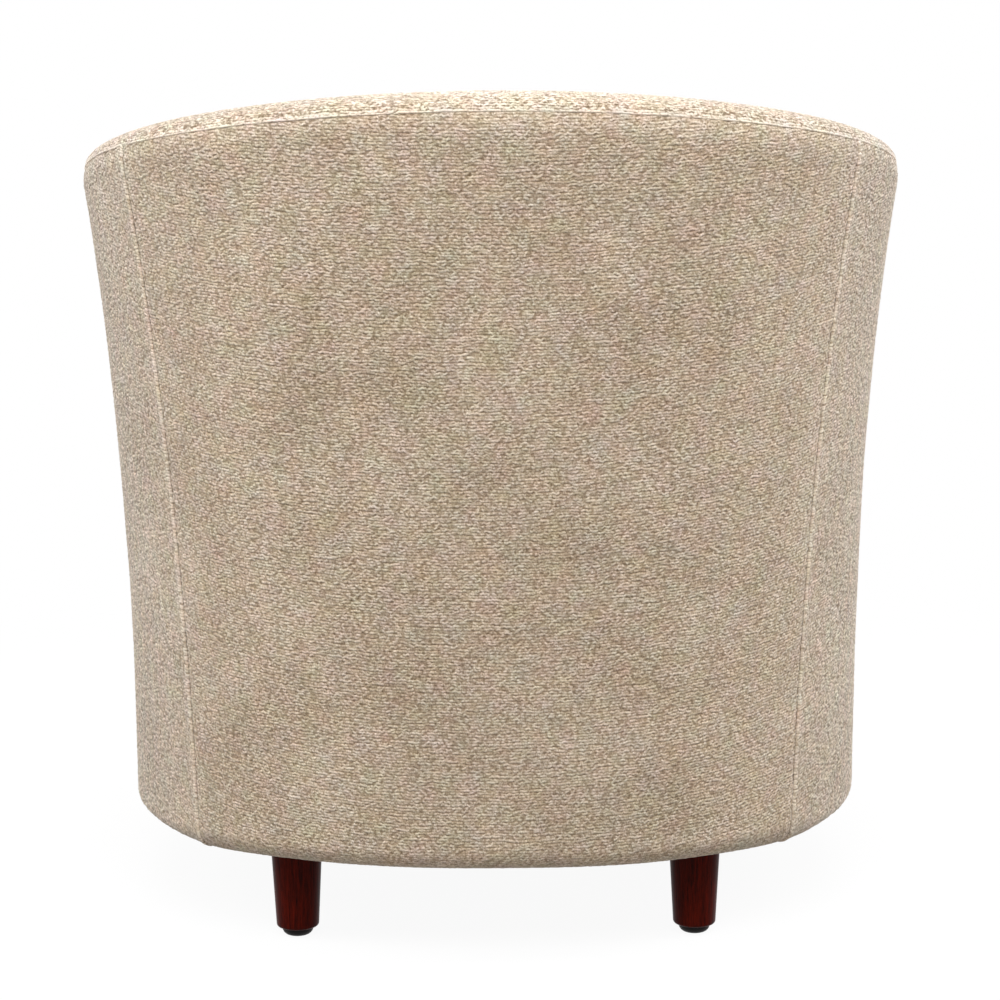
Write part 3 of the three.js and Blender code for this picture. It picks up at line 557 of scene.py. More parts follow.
def dress(piece, material, body="chair_body", replaces=()):
    """Gives a piece its material and its body, and hides the frame's nodes that it stands for."""
    piece.data.materials.clear()
    piece.data.materials.append(material)
    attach(piece, body)
    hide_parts(*replaces)


# %% [markdown]
# ## Unevenness
# Stretched cloth over padding is never quite flat: it shows hollows of a millimetre or so, a hand's width
# apart. Smooth value noise gives them. Random numbers sit on a lattice, and between them the surface eases
# from one to the next. The seed is fixed, so each run gives the same chair.

# %% Value noise
LATTICE = 64
HOLLOWS = [(0.9 * MM, 150 * MM, 0), (0.4 * MM, 60 * MM, 1)]  # depth, width and step in the seed


def value_noise(x, y, seed):
    """Seeded random numbers from -1 to 1 on a unit lattice, eased between by 3 t^2 - 2 t^3."""
    table = np.random.default_rng(seed).uniform(-1, 1, (LATTICE, LATTICE))
    cell_x = np.floor(x).astype(int)
    cell_y = np.floor(y).astype(int)
    t = ease(x - cell_x)
    u = ease(y - cell_y)
    corner = [[table[(cell_x + i) % LATTICE, (cell_y + j) % LATTICE] for j in (0, 1)] for i in (0, 1)]
    near, far = (pair[0] * (1 - u) + pair[1] * u for pair in corner)
    return near * (1 - t) + far * t


def unevenness(s, z, seed):
    """Broad hollows and narrower ones."""
    return sum(depth * value_noise(s / width, z / width, seed + step) for depth, width, step in HOLLOWS)


# %% [markdown]
# ## The outside cover
# Three panels make the outside of the tub: one across the back and one for each arm. They meet at two seams
# that lean outwards. At a seam the arm's cloth is folded under and laps over the back's, so the arm side
# stands up as a soft ridge and the back side dives beneath it. Each panel is a grid over "share of the way
# across" and "row from the hem to the rail". Its line runs in under the frame, turns round the lower edge
# and climbs the wall.

# %% Side seams and the wrap line
EDGE_RADIUS = 20 * MM
SIDE_EDGE_RADIUS = 10 * MM  # the cloth is pulled tighter round the lower edge of the arms
EDGE_CHANGE = (0.2, 0.3)  # metres along the wall where that starts, and over which it grows
HEM_WIDTH = 35.5 * MM  # cover turned under the frame
HEM_SAG = 3.4 * MM
HEM_SAG_AT = 310 * MM
HEM_SAG_WIDTH = 70 * MM
COVER_THICKNESS = 4 * MM
SIDE_SEAM_LOW = 303 * MM  # along the wall, at the lower edge
SIDE_SEAM_HIGH = 342 * MM  # the same at the rail
SEAM_HALF_CUT = 0.15 * MM
LAP_RISE = 1.4 * MM
LAP_WIDTH = 7 * MM
LAP_ROUND = 1.5 * MM  # the folded edge climbs within this
LAP_UNDER = 0.8 * MM  # how far its very edge lies below the cloth
LAP_DIP = 0.9 * MM
LAP_DIP_WIDTH = 3.5 * MM
FOLD_WIDTH = 2.2 * MM
CRACK_WIDTH = 1.1 * MM
CRACK_SHADE = 0.8  # painted shade: share of the fold tone taken off the lower cloth where it dives into the seam's crack
CLOSE_STEPS = np.array([0.0, 0.4, 0.8, 1.2, 1.7, 2.4, 3.4, 4.8]) * MM  # a panel's first steps from its seam
CLOSE_REACH = 1.2 * CLOSE_STEPS[-1]  # even steps begin past this
FACE_LENGTH = RAIL_HEIGHT - GROUND_CLEARANCE - EDGE_RADIUS
SHOULDER_IN = 5.5 * MM
SHOULDER_DROP = 22 * MM
ROW_RISE = 0.55  # per metre: how fast the rows of cloth climb towards the sides
ROW_STRAIGHT = 340 * MM  # past this length the climb is steady
PLACE_ROUNDS = 5  # of two rules that each need the other's answer


def seam_along(z):
    """Length along the wall of a side seam, straight between its low and high ends."""
    return SIDE_SEAM_LOW + (SIDE_SEAM_HIGH - SIDE_SEAM_LOW) * height_share(z)


def edge_radius(s):
    """Radius of the lower edge: it eases from the back's to the arms'."""
    return EDGE_RADIUS + (SIDE_EDGE_RADIUS - EDGE_RADIUS) * ease(
        unit((np.abs(s) - EDGE_CHANGE[0]) / EDGE_CHANGE[1]))


def ridge(distance):
    """Cross section of a folded edge: up a quarter circle, then a bell that fades."""
    rounded = np.sqrt(unit(1 - unit(1 - distance / LAP_ROUND) ** 2))
    return LAP_RISE * rounded * bell(distance, LAP_WIDTH) - LAP_UNDER * (1 - rounded)


def dive(distance):
    """The lower layer dips towards the seam by a bell."""
    return -LAP_DIP * bell(distance, LAP_DIP_WIDTH)


def shoulder(below_rail):
    """The padded top of the wall rounds inwards: its reach times (1 - depth below the seam / drop)^2."""
    return SHOULDER_IN * unit(1 - below_rail / SHOULDER_DROP) ** 2


def wrap_rows(hem_rows, edge_rows, face_rows):
    """Rows from the hem to the rail as three numbers each: turn, share of the hem, share of the face."""
    turn = np.concatenate([np.full(hem_rows, math.pi / 2), np.linspace(math.pi / 2, 0, edge_rows + 1),
                           np.zeros(face_rows)])
    under = np.concatenate([np.linspace(1, 0, hem_rows + 1)[:-1], np.zeros(edge_rows + 1 + face_rows)])
    face = np.concatenate([np.zeros(hem_rows + edge_rows + 1), np.linspace(0, 1, face_rows + 1)[1:]])
    return turn[None, :], under[None, :], face[None, :]


def stations(width, size, at_start, at_end):
    """Shares of a panel's width: even steps of about a size, and closer ones beside a seam."""
    even = np.linspace(0, 1, int(width / size))
    close, clear = CLOSE_STEPS / width, CLOSE_REACH / width
    if at_start:
        even = np.concatenate([close, even[even > clear]])
    if at_end:
        even = np.concatenate([even[even < 1 - clear], 1 - close[::-1]])
    return even[:, None]


def wrap_places(start, end, share, face):
    """Lengths along the wall and face heights of a panel's grid, from two rules repeated until they agree."""
    z = GROUND_CLEARANCE + EDGE_RADIUS + face * FACE_LENGTH + 0 * share
    for _ in range(PLACE_ROUNDS):
        s = start(z) + (end(z) - start(z)) * share
        foot = GROUND_CLEARANCE + edge_radius(s)
        z = foot + face * (rail(s) - GAP - foot)
    return s, z


def wrap_points(s, z, rows, depth):
    """Points at a depth below the cover: inward = R - (R - depth) cos(turn), and down by its sine.

    The cloth hangs a little below the frame where it turns the rear corners, by a bell along the wall.
    """
    turn, under = rows[:2]
    radius = edge_radius(s)
    inward = radius - (radius - depth) * np.cos(turn) + under * (HEM_WIDTH - radius)
    sag = HEM_SAG * bell(np.abs(s) - HEM_SAG_AT, HEM_SAG_WIDTH) * np.sin(turn) * (1 - under)
    return wall(s, inward, z - (radius - depth) * np.sin(turn) - sag)


def cloth_uv(s, z, rows):
    """Metres along the wall, and metres across the rows, which climb towards the sides as s^2."""
    turn, under = rows[:2]
    reach = np.abs(s)
    climb = np.where(reach < ROW_STRAIGHT, reach**2 / 2, ROW_STRAIGHT * (reach - ROW_STRAIGHT / 2))
    radius = edge_radius(s)
    return columns(s, z - radius * turn - under * (HEM_WIDTH - radius) - ROW_RISE * climb)


# %% Making a panel
TOP_TUCK = 0.8 * MM  # a panel's top edge dives under the band of the rail
TUCK_WIDTH = 3 * MM
FLAT_AT_RAIL, FLAT_AT_SEAM = 30 * MM, 20 * MM  # hollows fade out over these
PILE_FADE = 2 * MM  # beside a seam
ARM_SHARE_FROM, ARM_SHARE_OVER = 0.3, 0.12  # metres along the wall
ROW_SIZE = 0.8 * MM
BACK_STATION = 2.4 * MM
ARM_STATION = 3.2 * MM
FINE_ROWS, COARSE_ROWS = (10, 20, int(FACE_LENGTH / ROW_SIZE)), (2, 5, 40)
COARSER = 8  # the inner grid has one station for this many of the outer grid's


def on_outer(values, points):
    """One number for each point of a shell: values on its outer grid and 0 on its inner one."""
    return np.concatenate([values.ravel(), np.zeros(len(points) - values.size)])


def outside_panel(name, start, end, station, seams_at, seed):
    """One panel as a closed shell, whose fine outer grid carries the pile. Only the back has two seams."""
    is_back = all(seams_at)
    share = stations(float(np.max(np.abs(end(RAIL_HEIGHT) - start(RAIL_HEIGHT)))), station, *seams_at)
    fine, coarse = wrap_rows(*FINE_ROWS), wrap_rows(*COARSE_ROWS)
    s, z = wrap_places(start, end, share, fine[2])
    distance = (seam_along(z) - np.abs(s)) * (1 if is_back else -1)
    below_rail = rail(s) - z
    rise = (dive if is_back else ridge)(distance) - TOP_TUCK * bell(below_rail, TUCK_WIDTH)
    settled = unit(below_rail / FLAT_AT_RAIL) * unit(distance / FLAT_AT_SEAM)
    rise = rise - shoulder(below_rail) + unevenness(s, z, seed) * settled
    s_in, z_in = wrap_places(start, end, share[::COARSER] / share[::COARSER].max(), coarse[2])
    inner = wrap_points(s_in, z_in, coarse, COVER_THICKNESS + shoulder(rail(s_in) - z_in))
    points, faces, uvs = shell(wrap_points(s, z, fine, -rise), inner, cloth_uv(s, z, fine),
                               cloth_uv(s_in, z_in, coarse))
    # painted highlight on an arm panel's folded edge, and painted shade in the crack where the back panel
    # dives
    fold = -CRACK_SHADE * bell(distance, CRACK_WIDTH) if is_back else bell(distance, FOLD_WIDTH)
    # share of the arms along the wall: it raises the real pile and carries the painted tuft contrast
    opened = unit((np.abs(s) - ARM_SHARE_FROM) / ARM_SHARE_OVER)
    pile = unit(distance / PILE_FADE) * np.cos(fine[0]) ** 0.5 * (1 + (ARM_PILE - 1) * opened)
    piece = make_piece(name, points, faces, uvs, pile=on_outer(pile, points), fold=on_outer(fold, points),
                       opened=on_outer(ARM_PAINTED_CONTRAST * opened, points))
    raise_pile(piece)
    return piece


def seam_edge(sign, offset):
    """A side seam as an edge of a panel."""
    return lambda z: sign * (seam_along(z) + offset)


def arm_front(sign):
    """The front end of the wall as an edge of a panel."""
    return lambda z: sign * HALF_LENGTH + 0 * z


PANELS = [
    # name and node, from, to, size of its steps, seamed at those ends, seed of its hollows
    ("outside_back_{}", seam_edge(-1, -SEAM_HALF_CUT), seam_edge(1, -SEAM_HALF_CUT), BACK_STATION,
     (True, True), 11),
    ("outside_arm_{}_left", seam_edge(1, SEAM_HALF_CUT), arm_front(1), ARM_STATION, (True, False), 23),
    ("outside_arm_{}_right", arm_front(-1), seam_edge(-1, SEAM_HALF_CUT), ARM_STATION, (False, True), 37),
]
for name, *panel in PANELS:
    dress(outside_panel(name.format("cover"), *panel), CHENILLE,
          replaces=[name.format("panel")])

# %% [markdown]
# ## The rail and the inside cover
# The cloth of the rail starts as a folded edge that laps a few millimetres over the outside panels, goes
# over the padded rail and runs down the inside in one piece. Its section is a short lip, two quarter
# ellipses with a common crest and a long straight run. The inside is softer than the outside, so it bellies
# out a little.

# %% The inside cover
ROLL_CREST = 44 * MM  # from the outer face to the crest
ROLL_RISE = 15.5 * MM  # crest above the rail seam
ROLL_DROP = 46 * MM  # crest down to where the inside face begins
WALL_THICKNESS = 100 * MM
LIP_DROP = 3.4 * MM
LIP_RADIUS = 1.5 * MM
LIP_PROUD = 0.9 * MM
LIP_HIGHLIGHT = 1.6  # painted highlight: the lip's fold is the sharpest, so it is painted palest, where the light catches it
LIP_BACK = [(3.2 * MM, 0.1 * MM), (0.3 * MM, -0.2 * MM)]  # its first points, hidden behind the fold
LIP_STEPS = 5
FOLD_POINT = 5  # the point of the whole line where the fold shows palest
LIP_EASE = 6 * MM  # the roll settles onto the padding over this length
INSIDE_BELLY = 7 * MM
INSIDE_FINE, INSIDE_COARSE = (580, 110), (120, 16)  # columns along the wall, rows down the inside
ROLL_STEPS, ROLL_POINTS, ROLL_COARSE = 80, 131, 12
ROLL_START = 2  # its first points lie inside the fold and are left out
PILE_RISES, PILE_FALLS = (3, 4), (4, 30)  # bare rows at the fold and at the roll's end, and rows of change
DECK_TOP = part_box("seat_deck")[1].z
CUSHION_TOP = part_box("seat_cushion_cover")[1].z
INSIDE_FOOT = DECK_TOP + GAP


def roll_line(depth, steps):
    """Inward and height above the seam over the roll, at a depth below its surface: two quarter ellipses."""
    turn = np.linspace(0, math.pi / 2, steps + 1)
    outer = columns(ROLL_CREST - (ROLL_CREST - SHOULDER_IN - depth) * np.cos(turn),
                    (ROLL_RISE - depth) * np.sin(turn))
    turn = turn[-2::-1]
    inner = columns(ROLL_CREST + (WALL_THICKNESS - ROLL_CREST - depth) * np.cos(turn),
                    ROLL_RISE - ROLL_DROP + (ROLL_DROP - depth) * np.sin(turn))
    return np.concatenate([outer, inner])


def lip_line():
    """The folded edge: in from behind, round a small circle, and up onto the roll."""
    turn = np.linspace(-math.pi / 2, 0, LIP_STEPS)
    centre = LIP_RADIUS - LIP_PROUD
    behind = np.array([*LIP_BACK, (centre + LIP_BACK[1][0], -LIP_DROP)])
    fold = columns(centre - LIP_RADIUS * np.cos(turn), LIP_RADIUS - LIP_DROP + LIP_RADIUS * np.sin(turn))
    line = np.concatenate([behind, fold])
    line[:, 0] += shoulder(np.maximum(-line[:, 1], 0))
    return line


def walked(line):
    """Length walked along a line of points."""
    return run_up(np.linalg.norm(np.diff(line, axis=0), axis=1))


def resampled(line, count):
    """Points at even steps along a line."""
    length = walked(line)
    at = np.linspace(0, 1, count) * length[-1]
    return columns(*(np.interp(at, length, column) for column in line.T))


def inside_grid(s, line, down_rows):
    """Grid that follows a line over the roll, then runs down the inside to its foot."""
    top = rail(s)[:, None] + line[:, 1][None, :]
    share = np.linspace(0, 1, down_rows + 1)[None, 1:]
    z = np.concatenate([top, top[:, -1:] + (INSIDE_FOOT - top[:, -1:]) * share], 1)
    inward = np.concatenate([line[:, 0], np.full(down_rows, line[-1, 0])])[None, :] + 0 * z
    room = unit((z - CUSHION_TOP) / (rail(s)[:, None] - CUSHION_TOP))
    inward = inward + INSIDE_BELLY * np.sin(math.pi * room) ** 2 * (inward > ROLL_CREST)
    steps = np.hypot(np.diff(inward, axis=1), np.diff(z, axis=1))
    v = np.concatenate([np.zeros((len(s), 1)), -np.cumsum(steps, 1)], 1)
    return wall(s[:, None], inward, z, np.minimum(z, rail(s)[:, None])), columns(s[:, None], v)


def whole_wall(count):
    """Lengths along the wall, from one arm front to the other."""
    return np.linspace(-HALF_LENGTH, HALF_LENGTH, count)


def inside_cover():
    """The lip, the roll and the inside as one shell. Its pile starts past the fold and ends with the roll."""
    roll = resampled(roll_line(0.0, ROLL_STEPS), ROLL_POINTS)
    roll[:, 0] -= np.exp(-walked(roll) / LIP_EASE) * LIP_PROUD
    line = np.concatenate([lip_line(), roll[ROLL_START:]])
    outer, uv_outer = inside_grid(whole_wall(INSIDE_FINE[0]), line, INSIDE_FINE[1])
    inner, uv_inner = inside_grid(whole_wall(INSIDE_COARSE[0]), roll_line(COVER_THICKNESS, ROLL_COARSE),
                                  INSIDE_COARSE[1])
    points, faces, uvs = shell(outer, inner, uv_outer, uv_inner)
    row = np.arange(outer.shape[1])
    pile = unit((row - PILE_RISES[0]) / PILE_RISES[1])
    pile *= unit((len(line) - PILE_FALLS[0] - row) / PILE_FALLS[1])
    length = walked(line)
    fold = np.zeros(len(row))
    # painted highlight along the lip's fold, the bright line at the rail seam
    fold[: len(line)] = LIP_HIGHLIGHT * bell(np.abs(length - length[FOLD_POINT]), FOLD_WIDTH)
    # the rail carries the painted tuft contrast too
    shares = {name: on_outer(values + np.zeros(outer.shape[:2]), points)
              for name, values in (("pile", pile), ("fold", fold), ("opened", RAIL_PAINTED_CONTRAST * pile))}
    piece = make_piece("inside_cover_cloth", points, faces, uvs, **shares)
    raise_pile(piece)
    return piece


dress(inside_cover(), CHENILLE, replaces=["inside_cover"])

# %% [markdown]
# ## Padded fronts and the cushion
# The arm fronts, the border under the cushion and the cushion itself are sewn cases with foam inside. Their
# seams hold them in and the filling pushes them out, which a cloth simulation does by itself: the sewn rows
# are held, air pressure stands for the foam, and a cap stops any point from moving too far. The case is
# built from grids, not remeshed, so its cloth coordinates survive. A grid fills an outline by blending its
# four edges both ways and taking off what was counted twice.

# %% Filling an outline


def patch(front, right, back, left):
    """Grid between four edges: blend front to back, plus blend left to right, less blend of the corners."""
    u = np.linspace(0, 1, len(front))[:, None, None]
    v = np.linspace(0, 1, len(left))[None, :, None]
    lengthwise = (1 - v) * front[:, None] + v * back[:, None]
    crosswise = (1 - u) * left[None] + u * right[None]
    corners = (1 - u) * ((1 - v) * front[0] + v * back[0]) + u * ((1 - v) * front[-1] + v * back[-1])
    return lengthwise + crosswise - corners


def filled(edges, size):
    """Grid within four rows of points, given in the order of a walk round, with cells of about a size."""
    lengths = [walked(edge)[-1] for edge in edges]
    across, deep = (int(max(lengths[k], lengths[k + 2]) / size) + 2 for k in (0, 1))
    front, right, back, left = (resampled(edge, n) for edge, n in zip(edges, (across, deep, across, deep)))
    return patch(front, right, back[::-1], left[::-1])


def with_height(grid, z):
    """Adds a third coordinate to a grid of pairs."""
    return columns(grid[..., 0], grid[..., 1], z)


def crown_of(grid):
    """1 in the middle of a grid and 0 at its edges: (1 - |u|^3)(1 - |v|^3)."""
    u, v = (1 - np.abs(np.linspace(-1, 1, count)) ** 3 for count in grid.shape[:2])
    return u[:, None] * v[None, :]


def edge_of(grid):
    """The vertex numbers and the places of a grid's edge, in the order of a walk round it."""
    loop = walk_round(numbered(grid))
    return loop, joined(grid)[loop]


# %% Pressure from inside
SIMULATED_FRAMES = 20
CLOTH_SETTINGS = {"vertex_group_mass": "sewn", "quality": 6, "mass": 0.3, "tension_stiffness": 25,
                  "compression_stiffness": 25, "shear_stiffness": 10, "bending_stiffness": 4,
                  "use_pressure": True}


def places_of(piece):
    """The positions of a piece's vertices, as an array."""
    return np.array([vertex.co for vertex in piece.data.vertices])


def inflate(piece, held, cap, pressure):
    """Runs Blender's cloth with pressure and without gravity, then moves each point by at most its cap."""
    before = places_of(piece)
    started = time.time()
    piece.vertex_groups.new(name="sewn").add([int(i) for i in np.flatnonzero(held)], 1.0, "REPLACE")
    modifier = piece.modifiers.new("filling", "CLOTH")
    for name, value in CLOTH_SETTINGS.items():
        setattr(modifier.settings, name, value)
    modifier.settings.uniform_pressure_force = pressure
    modifier.settings.effector_weights.gravity = 0
    modifier.collision_settings.use_collision = False
    modifier.point_cache.frame_end = SIMULATED_FRAMES
    for number in range(1, SIMULATED_FRAMES + 1):
        bpy.context.scene.frame_set(number)
    after = places_of(piece.evaluated_get(bpy.context.evaluated_depsgraph_get()))
    piece.modifiers.clear()
    piece.vertex_groups.clear()
    bpy.context.scene.frame_set(1)
    moved = after - before
    length = np.linalg.norm(moved, axis=1, keepdims=True)
    moved *= np.minimum(1, cap[:, None] / np.maximum(length, 1e-9))
    print(f"{piece.name}: simulated in {time.time() - started:.1f} s, largest move "
          f"{length.max() / MM:.1f} mm, kept {np.linalg.norm(moved, axis=1).max() / MM:.1f} mm")
    return before + moved


def place_vertices(piece, points):
    """Writes a whole array of positions into a piece."""
    piece.data.vertices.foreach_set("co", points.astype(np.float32).ravel())
    piece.data.update()


def soften(piece):
    """One level of smooth subdivision."""
    modifier = piece.modifiers.new("smooth", "SUBSURF")
    modifier.levels = modifier.render_levels = 1


# %% The loose seat cushion
CUSHION_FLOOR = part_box("seat_cushion_cover")[0].z
CUSHION_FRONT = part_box("seat_cushion_cover")[0].y
CUSHION_CROWN = 32 * MM
CUSHION_CORNER = 42 * MM
CUSHION_BOW = 6 * MM
CUSHION_EASE = 3.5 * MM
CUSHION_PRESSURE = 4.0
LOW_SEAM = 13 * MM
CUSHION_CELL = 8 * MM
PLAN_INSET = 1.5 * MM  # the case starts a little smaller than its space
FLAT_SHARE = 0.975
SEAM_SHARE = 0.985
UNFILLED_SHARE = 0.62  # of the crown's height, before the filling pushes it up
SIDE_ROWS = 13
SIDE_CAP = 1.5 * MM
TOP_CAP = 15 * MM
MIRROR = np.array([-1, 1])
EDGE_POINTS, CORNER_POINTS, BOW_POINTS = 300, 12, 60  # on a side or the back, half a corner and the front


def side_and_back(depth, z, from_y):
    """The wall's line at a depth and a height in two rows: from a y back to the quarter turn, and on."""
    quarter = PLAN[0][int(np.argmin(np.abs(PLAN[3] - PLAN[4])))]
    ends = ((HALF_LENGTH, quarter), (quarter, -quarter))
    side, back = (wall(np.linspace(*pair, EDGE_POINTS), depth, z)[:, :2] for pair in ends)
    return side[side[:, 1] > from_y], back


def cushion_edges(inset):
    """Front, right, back and left edge of the cushion's plan, with left and right as seen from the front."""
    depth = WALL_THICKNESS + CUSHION_EASE + inset
    corner_y = CUSHION_FRONT + CUSHION_BOW + inset + CUSHION_CORNER
    centre_x = wall(HALF_LENGTH, depth, CUSHION_FLOOR)[0] - CUSHION_CORNER
    turn = np.linspace(0, math.pi / 4, CORNER_POINTS)
    beside, before = CUSHION_CORNER * np.sin(turn), CUSHION_CORNER * np.cos(turn)
    low_arc = columns(centre_x + beside, corner_y - before)
    high_arc = columns(centre_x + before, corner_y - beside)
    share = np.linspace(-1, 1, BOW_POINTS)
    bow = columns(centre_x * share, corner_y - CUSHION_CORNER - CUSHION_BOW * (1 - share**2))
    front = np.concatenate([(low_arc * MIRROR)[::-1], bow[1:-1], low_arc])
    side, back = side_and_back(depth, CUSHION_FLOOR, corner_y + GAP)
    right = np.concatenate([high_arc[::-1], side])
    return front, right, back, (right * MIRROR)[::-1]


def plate(grid, shares, heights):
    """A box over a plan. Its bottom, the rings of its side and its top are the plan drawn to a share of its
    size about its middle, each at its own height. Returns points, faces and UVs."""
    middle = np.array([0, grid[..., 1].mean()])
    plans = [grid, *[edge_of(grid)[1]] * (len(shares) - 2), grid]
    bottom, *rings, top = (with_height(middle + (part - middle) * share, z)
                           for part, share, z in zip(plans, shares, heights))
    return boxed(bottom, np.stack(rings), top)


def cushion_shape(inset):
    """A flat underside, a side that swells between two seams and a crowned top, and the plan's grid."""
    grid = filled(cushion_edges(PLAN_INSET + inset), CUSHION_CELL)
    low = CUSHION_FLOOR + inset
    top_seam = CUSHION_TOP - CUSHION_CROWN - inset
    steps = np.linspace(0, 1, SIDE_ROWS + 1)[:-1]
    heights = LOW_SEAM + (top_seam - low - LOW_SEAM) * steps
    shares = SEAM_SHARE + (1 - SEAM_SHARE) * (1 - (2 * steps - 1) ** 2)
    top = top_seam + UNFILLED_SHARE * CUSHION_CROWN * crown_of(grid)
    return grid, plate(grid, [FLAT_SHARE, (FLAT_SHARE + SEAM_SHARE) / 2, *shares, SEAM_SHARE],
                       [low, low + LOW_SEAM / 2, *(low + heights), top])


def filled_case(name, grid, shape, sewn_rings, caps, pressure):
    """Makes a case and fills it. Its flat side, its front edge and its first rings are held. Returns the
    piece, its points and where its rings begin."""
    piece = make_piece(name, *shape)
    loop = edge_of(grid)[0]
    count = grid[..., 0].size
    held = np.zeros(len(shape[0]), bool)
    held[:count] = True
    held[count + loop] = True
    held[2 * count : 2 * count + sewn_rings * len(loop)] = True
    cap = np.full(len(held), caps[0])
    cap[count : 2 * count] = caps[1]
    return piece, inflate(piece, held, cap, pressure), 2 * count


cushion_grid, cushion_box = cushion_shape(0.0)
cushion, cushion_points, ring_start = filled_case("seat_cushion_case", cushion_grid, cushion_box, 2,
                                                  (SIDE_CAP, TOP_CAP), CUSHION_PRESSURE)
cushion_points[:, 2] = np.clip(cushion_points[:, 2], CUSHION_FLOOR, CUSHION_TOP)
cushion_side = cushion_points[ring_start:].reshape(-1, len(edge_of(cushion_grid)[0]), 3)
place_vertices(cushion, cushion_points)
soften(cushion)
dress(cushion, CHENILLE, body="seat_cushion", replaces=["seat_cushion_cover"])
print("cushion top, m:", round(float(cushion_points[:, 2].max()), 4), "node:", round(CUSHION_TOP, 4))

# %% The padded arm fronts and the border
FACING_DEPTH = 14.5 * MM
FACING_INSET = 9 * MM
BORDER_INSET = 8 * MM
PAD_CELL = 5 * MM
PAD_CAP = 3 * MM
PAD_PRESSURE = 3.0
PAD_SIDE = (0.35, 0.5, 0.15)  # shares of the depth: straight side, rounded side, crown
PAD_RINGS = 6
LOWER_EDGE_POINTS, FACE_POINTS, FACING_ROLL = 12, 7, 40
LOWER_SPLIT, ROLL_SPLITS = 6, (23, 65)  # points of those lines where two edges of the facing meet


def padded_front(node, edges, inset, to_world):
    """A shallow case over a front: flat back, side that rounds over, front that the filling pushes out."""
    grid = filled(edges, PAD_CELL)
    low, high = joined(grid).min(0), joined(grid).max(0)
    middle, half = (low + high) / 2, (high - low) / 2
    straight, rounded, crowned = PAD_SIDE

    def at(points, amount, depth_share):
        """Drawn in by an amount at each side, and placed at a share of the depth."""
        drawn = middle + (points - middle) * (1 - amount / half)
        return to_world(with_height(drawn, FACING_DEPTH * depth_share))

    edge = edge_of(grid)[1]
    rings = np.stack([at(edge, inset * (1 - math.cos(turn)), straight + rounded * math.sin(turn))
                      for turn in np.linspace(0, math.pi / 2, PAD_RINGS, endpoint=False)])
    front = at(grid, inset, straight + rounded + crowned * crown_of(grid))
    piece, points, _ = filled_case(f"{node}_case", grid, boxed(at(grid, 0.0, 0.0), rings, front), 0,
                                   (PAD_CAP, PAD_CAP), PAD_PRESSURE)
    place_vertices(piece, points)
    soften(piece)
    dress(piece, CHENILLE, replaces=[node])


def facing_edges():
    """The wall's own section at an arm front, as four edges in inward and height."""
    seam = rail(np.array(HALF_LENGTH))
    turn = np.linspace(math.pi / 2, 0, LOWER_EDGE_POINTS)
    radius = SIDE_EDGE_RADIUS
    lower = columns(radius - radius * np.cos(turn), GROUND_CLEARANCE + radius - radius * np.sin(turn))
    over = roll_line(0.0, FACING_ROLL) + [0, seam]
    below = np.linspace(SHOULDER_DROP, 0, FACE_POINTS, endpoint=False)
    first, last = ROLL_SPLITS
    outer = np.concatenate([lower[LOWER_SPLIT:], columns(shoulder(below), seam - below), over[: first + 1]])
    foot = [[WALL_THICKNESS, GROUND_CLEARANCE]]
    inner = np.concatenate([over[last:], foot])
    bottom = np.concatenate([foot, lower[: LOWER_SPLIT + 1]])
    return bottom[::-1], inner[::-1], over[first : last + 1][::-1], outer[::-1]


def facing_to_world(sign):
    """Inward, height and depth of a facing become a place at the end of the wall."""
    return lambda p: wall(sign * (HALF_LENGTH + GAP + p[..., 2]), p[..., 0], p[..., 1],
                          np.minimum(p[..., 1], rail(np.array(HALF_LENGTH))))


def border_edges():
    """A rectangle between the two facings."""
    low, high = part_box("front_border")
    corners = np.array([[low.x, low.z], [high.x, low.z], [high.x, high.z], [low.x, high.z], [low.x, low.z]])
    return [corners[k : k + 2] for k in range(4)]


def border_to_world(p):
    """The border faces forwards from the ends of the arms."""
    return columns(p[..., 0], arm_front_y - GAP - p[..., 2], p[..., 1])


padded_front("arm_front_left", facing_edges(), FACING_INSET, facing_to_world(1))
padded_front("arm_front_right", facing_edges(), FACING_INSET, facing_to_world(-1))
padded_front("front_border", border_edges(), BORDER_INSET, border_to_world)

# %% [markdown]
# ## Turned legs and their glides
# A leg is turned on a lathe, so it is one profile carried round an axis: a straight taper with a rounded
# foot, and a bore in its top for the bolt. The glide under it is a shallow nylon dome. Both are made by the
# same function, from pairs of radius and height that start and end on the axis.

# %% Turned pieces
TURNED_SIDES = 96
SHARP_FROM = math.radians(40)


def closed_rings(rings, first, last):
    """Closes a stack of rings with a point at each end. Returns points and faces."""
    index = numbered(rings)
    index = np.hstack([index, index[:, :1]])
    ends = index.max() + 1
    fans = columns(ends, index[0, :-1], index[0, 1:]), columns(ends + 1, index[-1, 1:], index[-1, :-1])
    return np.concatenate([joined(rings), [first, last]]), [grid_quads(index), *fans]


def turned(name, pairs, x, y):
    """Ring k is (x + r cos(turn), y + r sin(turn), height), one for each radius and height but the ends."""
    radius, height = np.array(pairs)[1:-1].T[..., None]
    turn = np.linspace(0, 2 * math.pi, TURNED_SIDES, endpoint=False)[None, :]
    rings = columns(x + radius * np.cos(turn), y + radius * np.sin(turn), height)
    piece = make_piece(name, *closed_rings(rings, (x, y, pairs[0][1]), (x, y, pairs[-1][1])))
    piece.data.set_sharp_from_angle(angle=SHARP_FROM)
    return piece


def arc(centre, reach, start, end, steps):
    """Pairs on an ellipse about a centre, from one angle in degrees to another."""
    turn = np.radians(np.linspace(start, end, steps + 1))
    return columns(centre[0] + reach[0] * np.cos(turn), centre[1] + reach[1] * np.sin(turn))


# %% Stained mahogany and nylon
GRAIN = (1.8 * MM, 1.8 * MM, 45 * MM)
PORES = (0.5 * MM, 0.5 * MM, 8 * MM)  # a little wider than real pores, so that they show


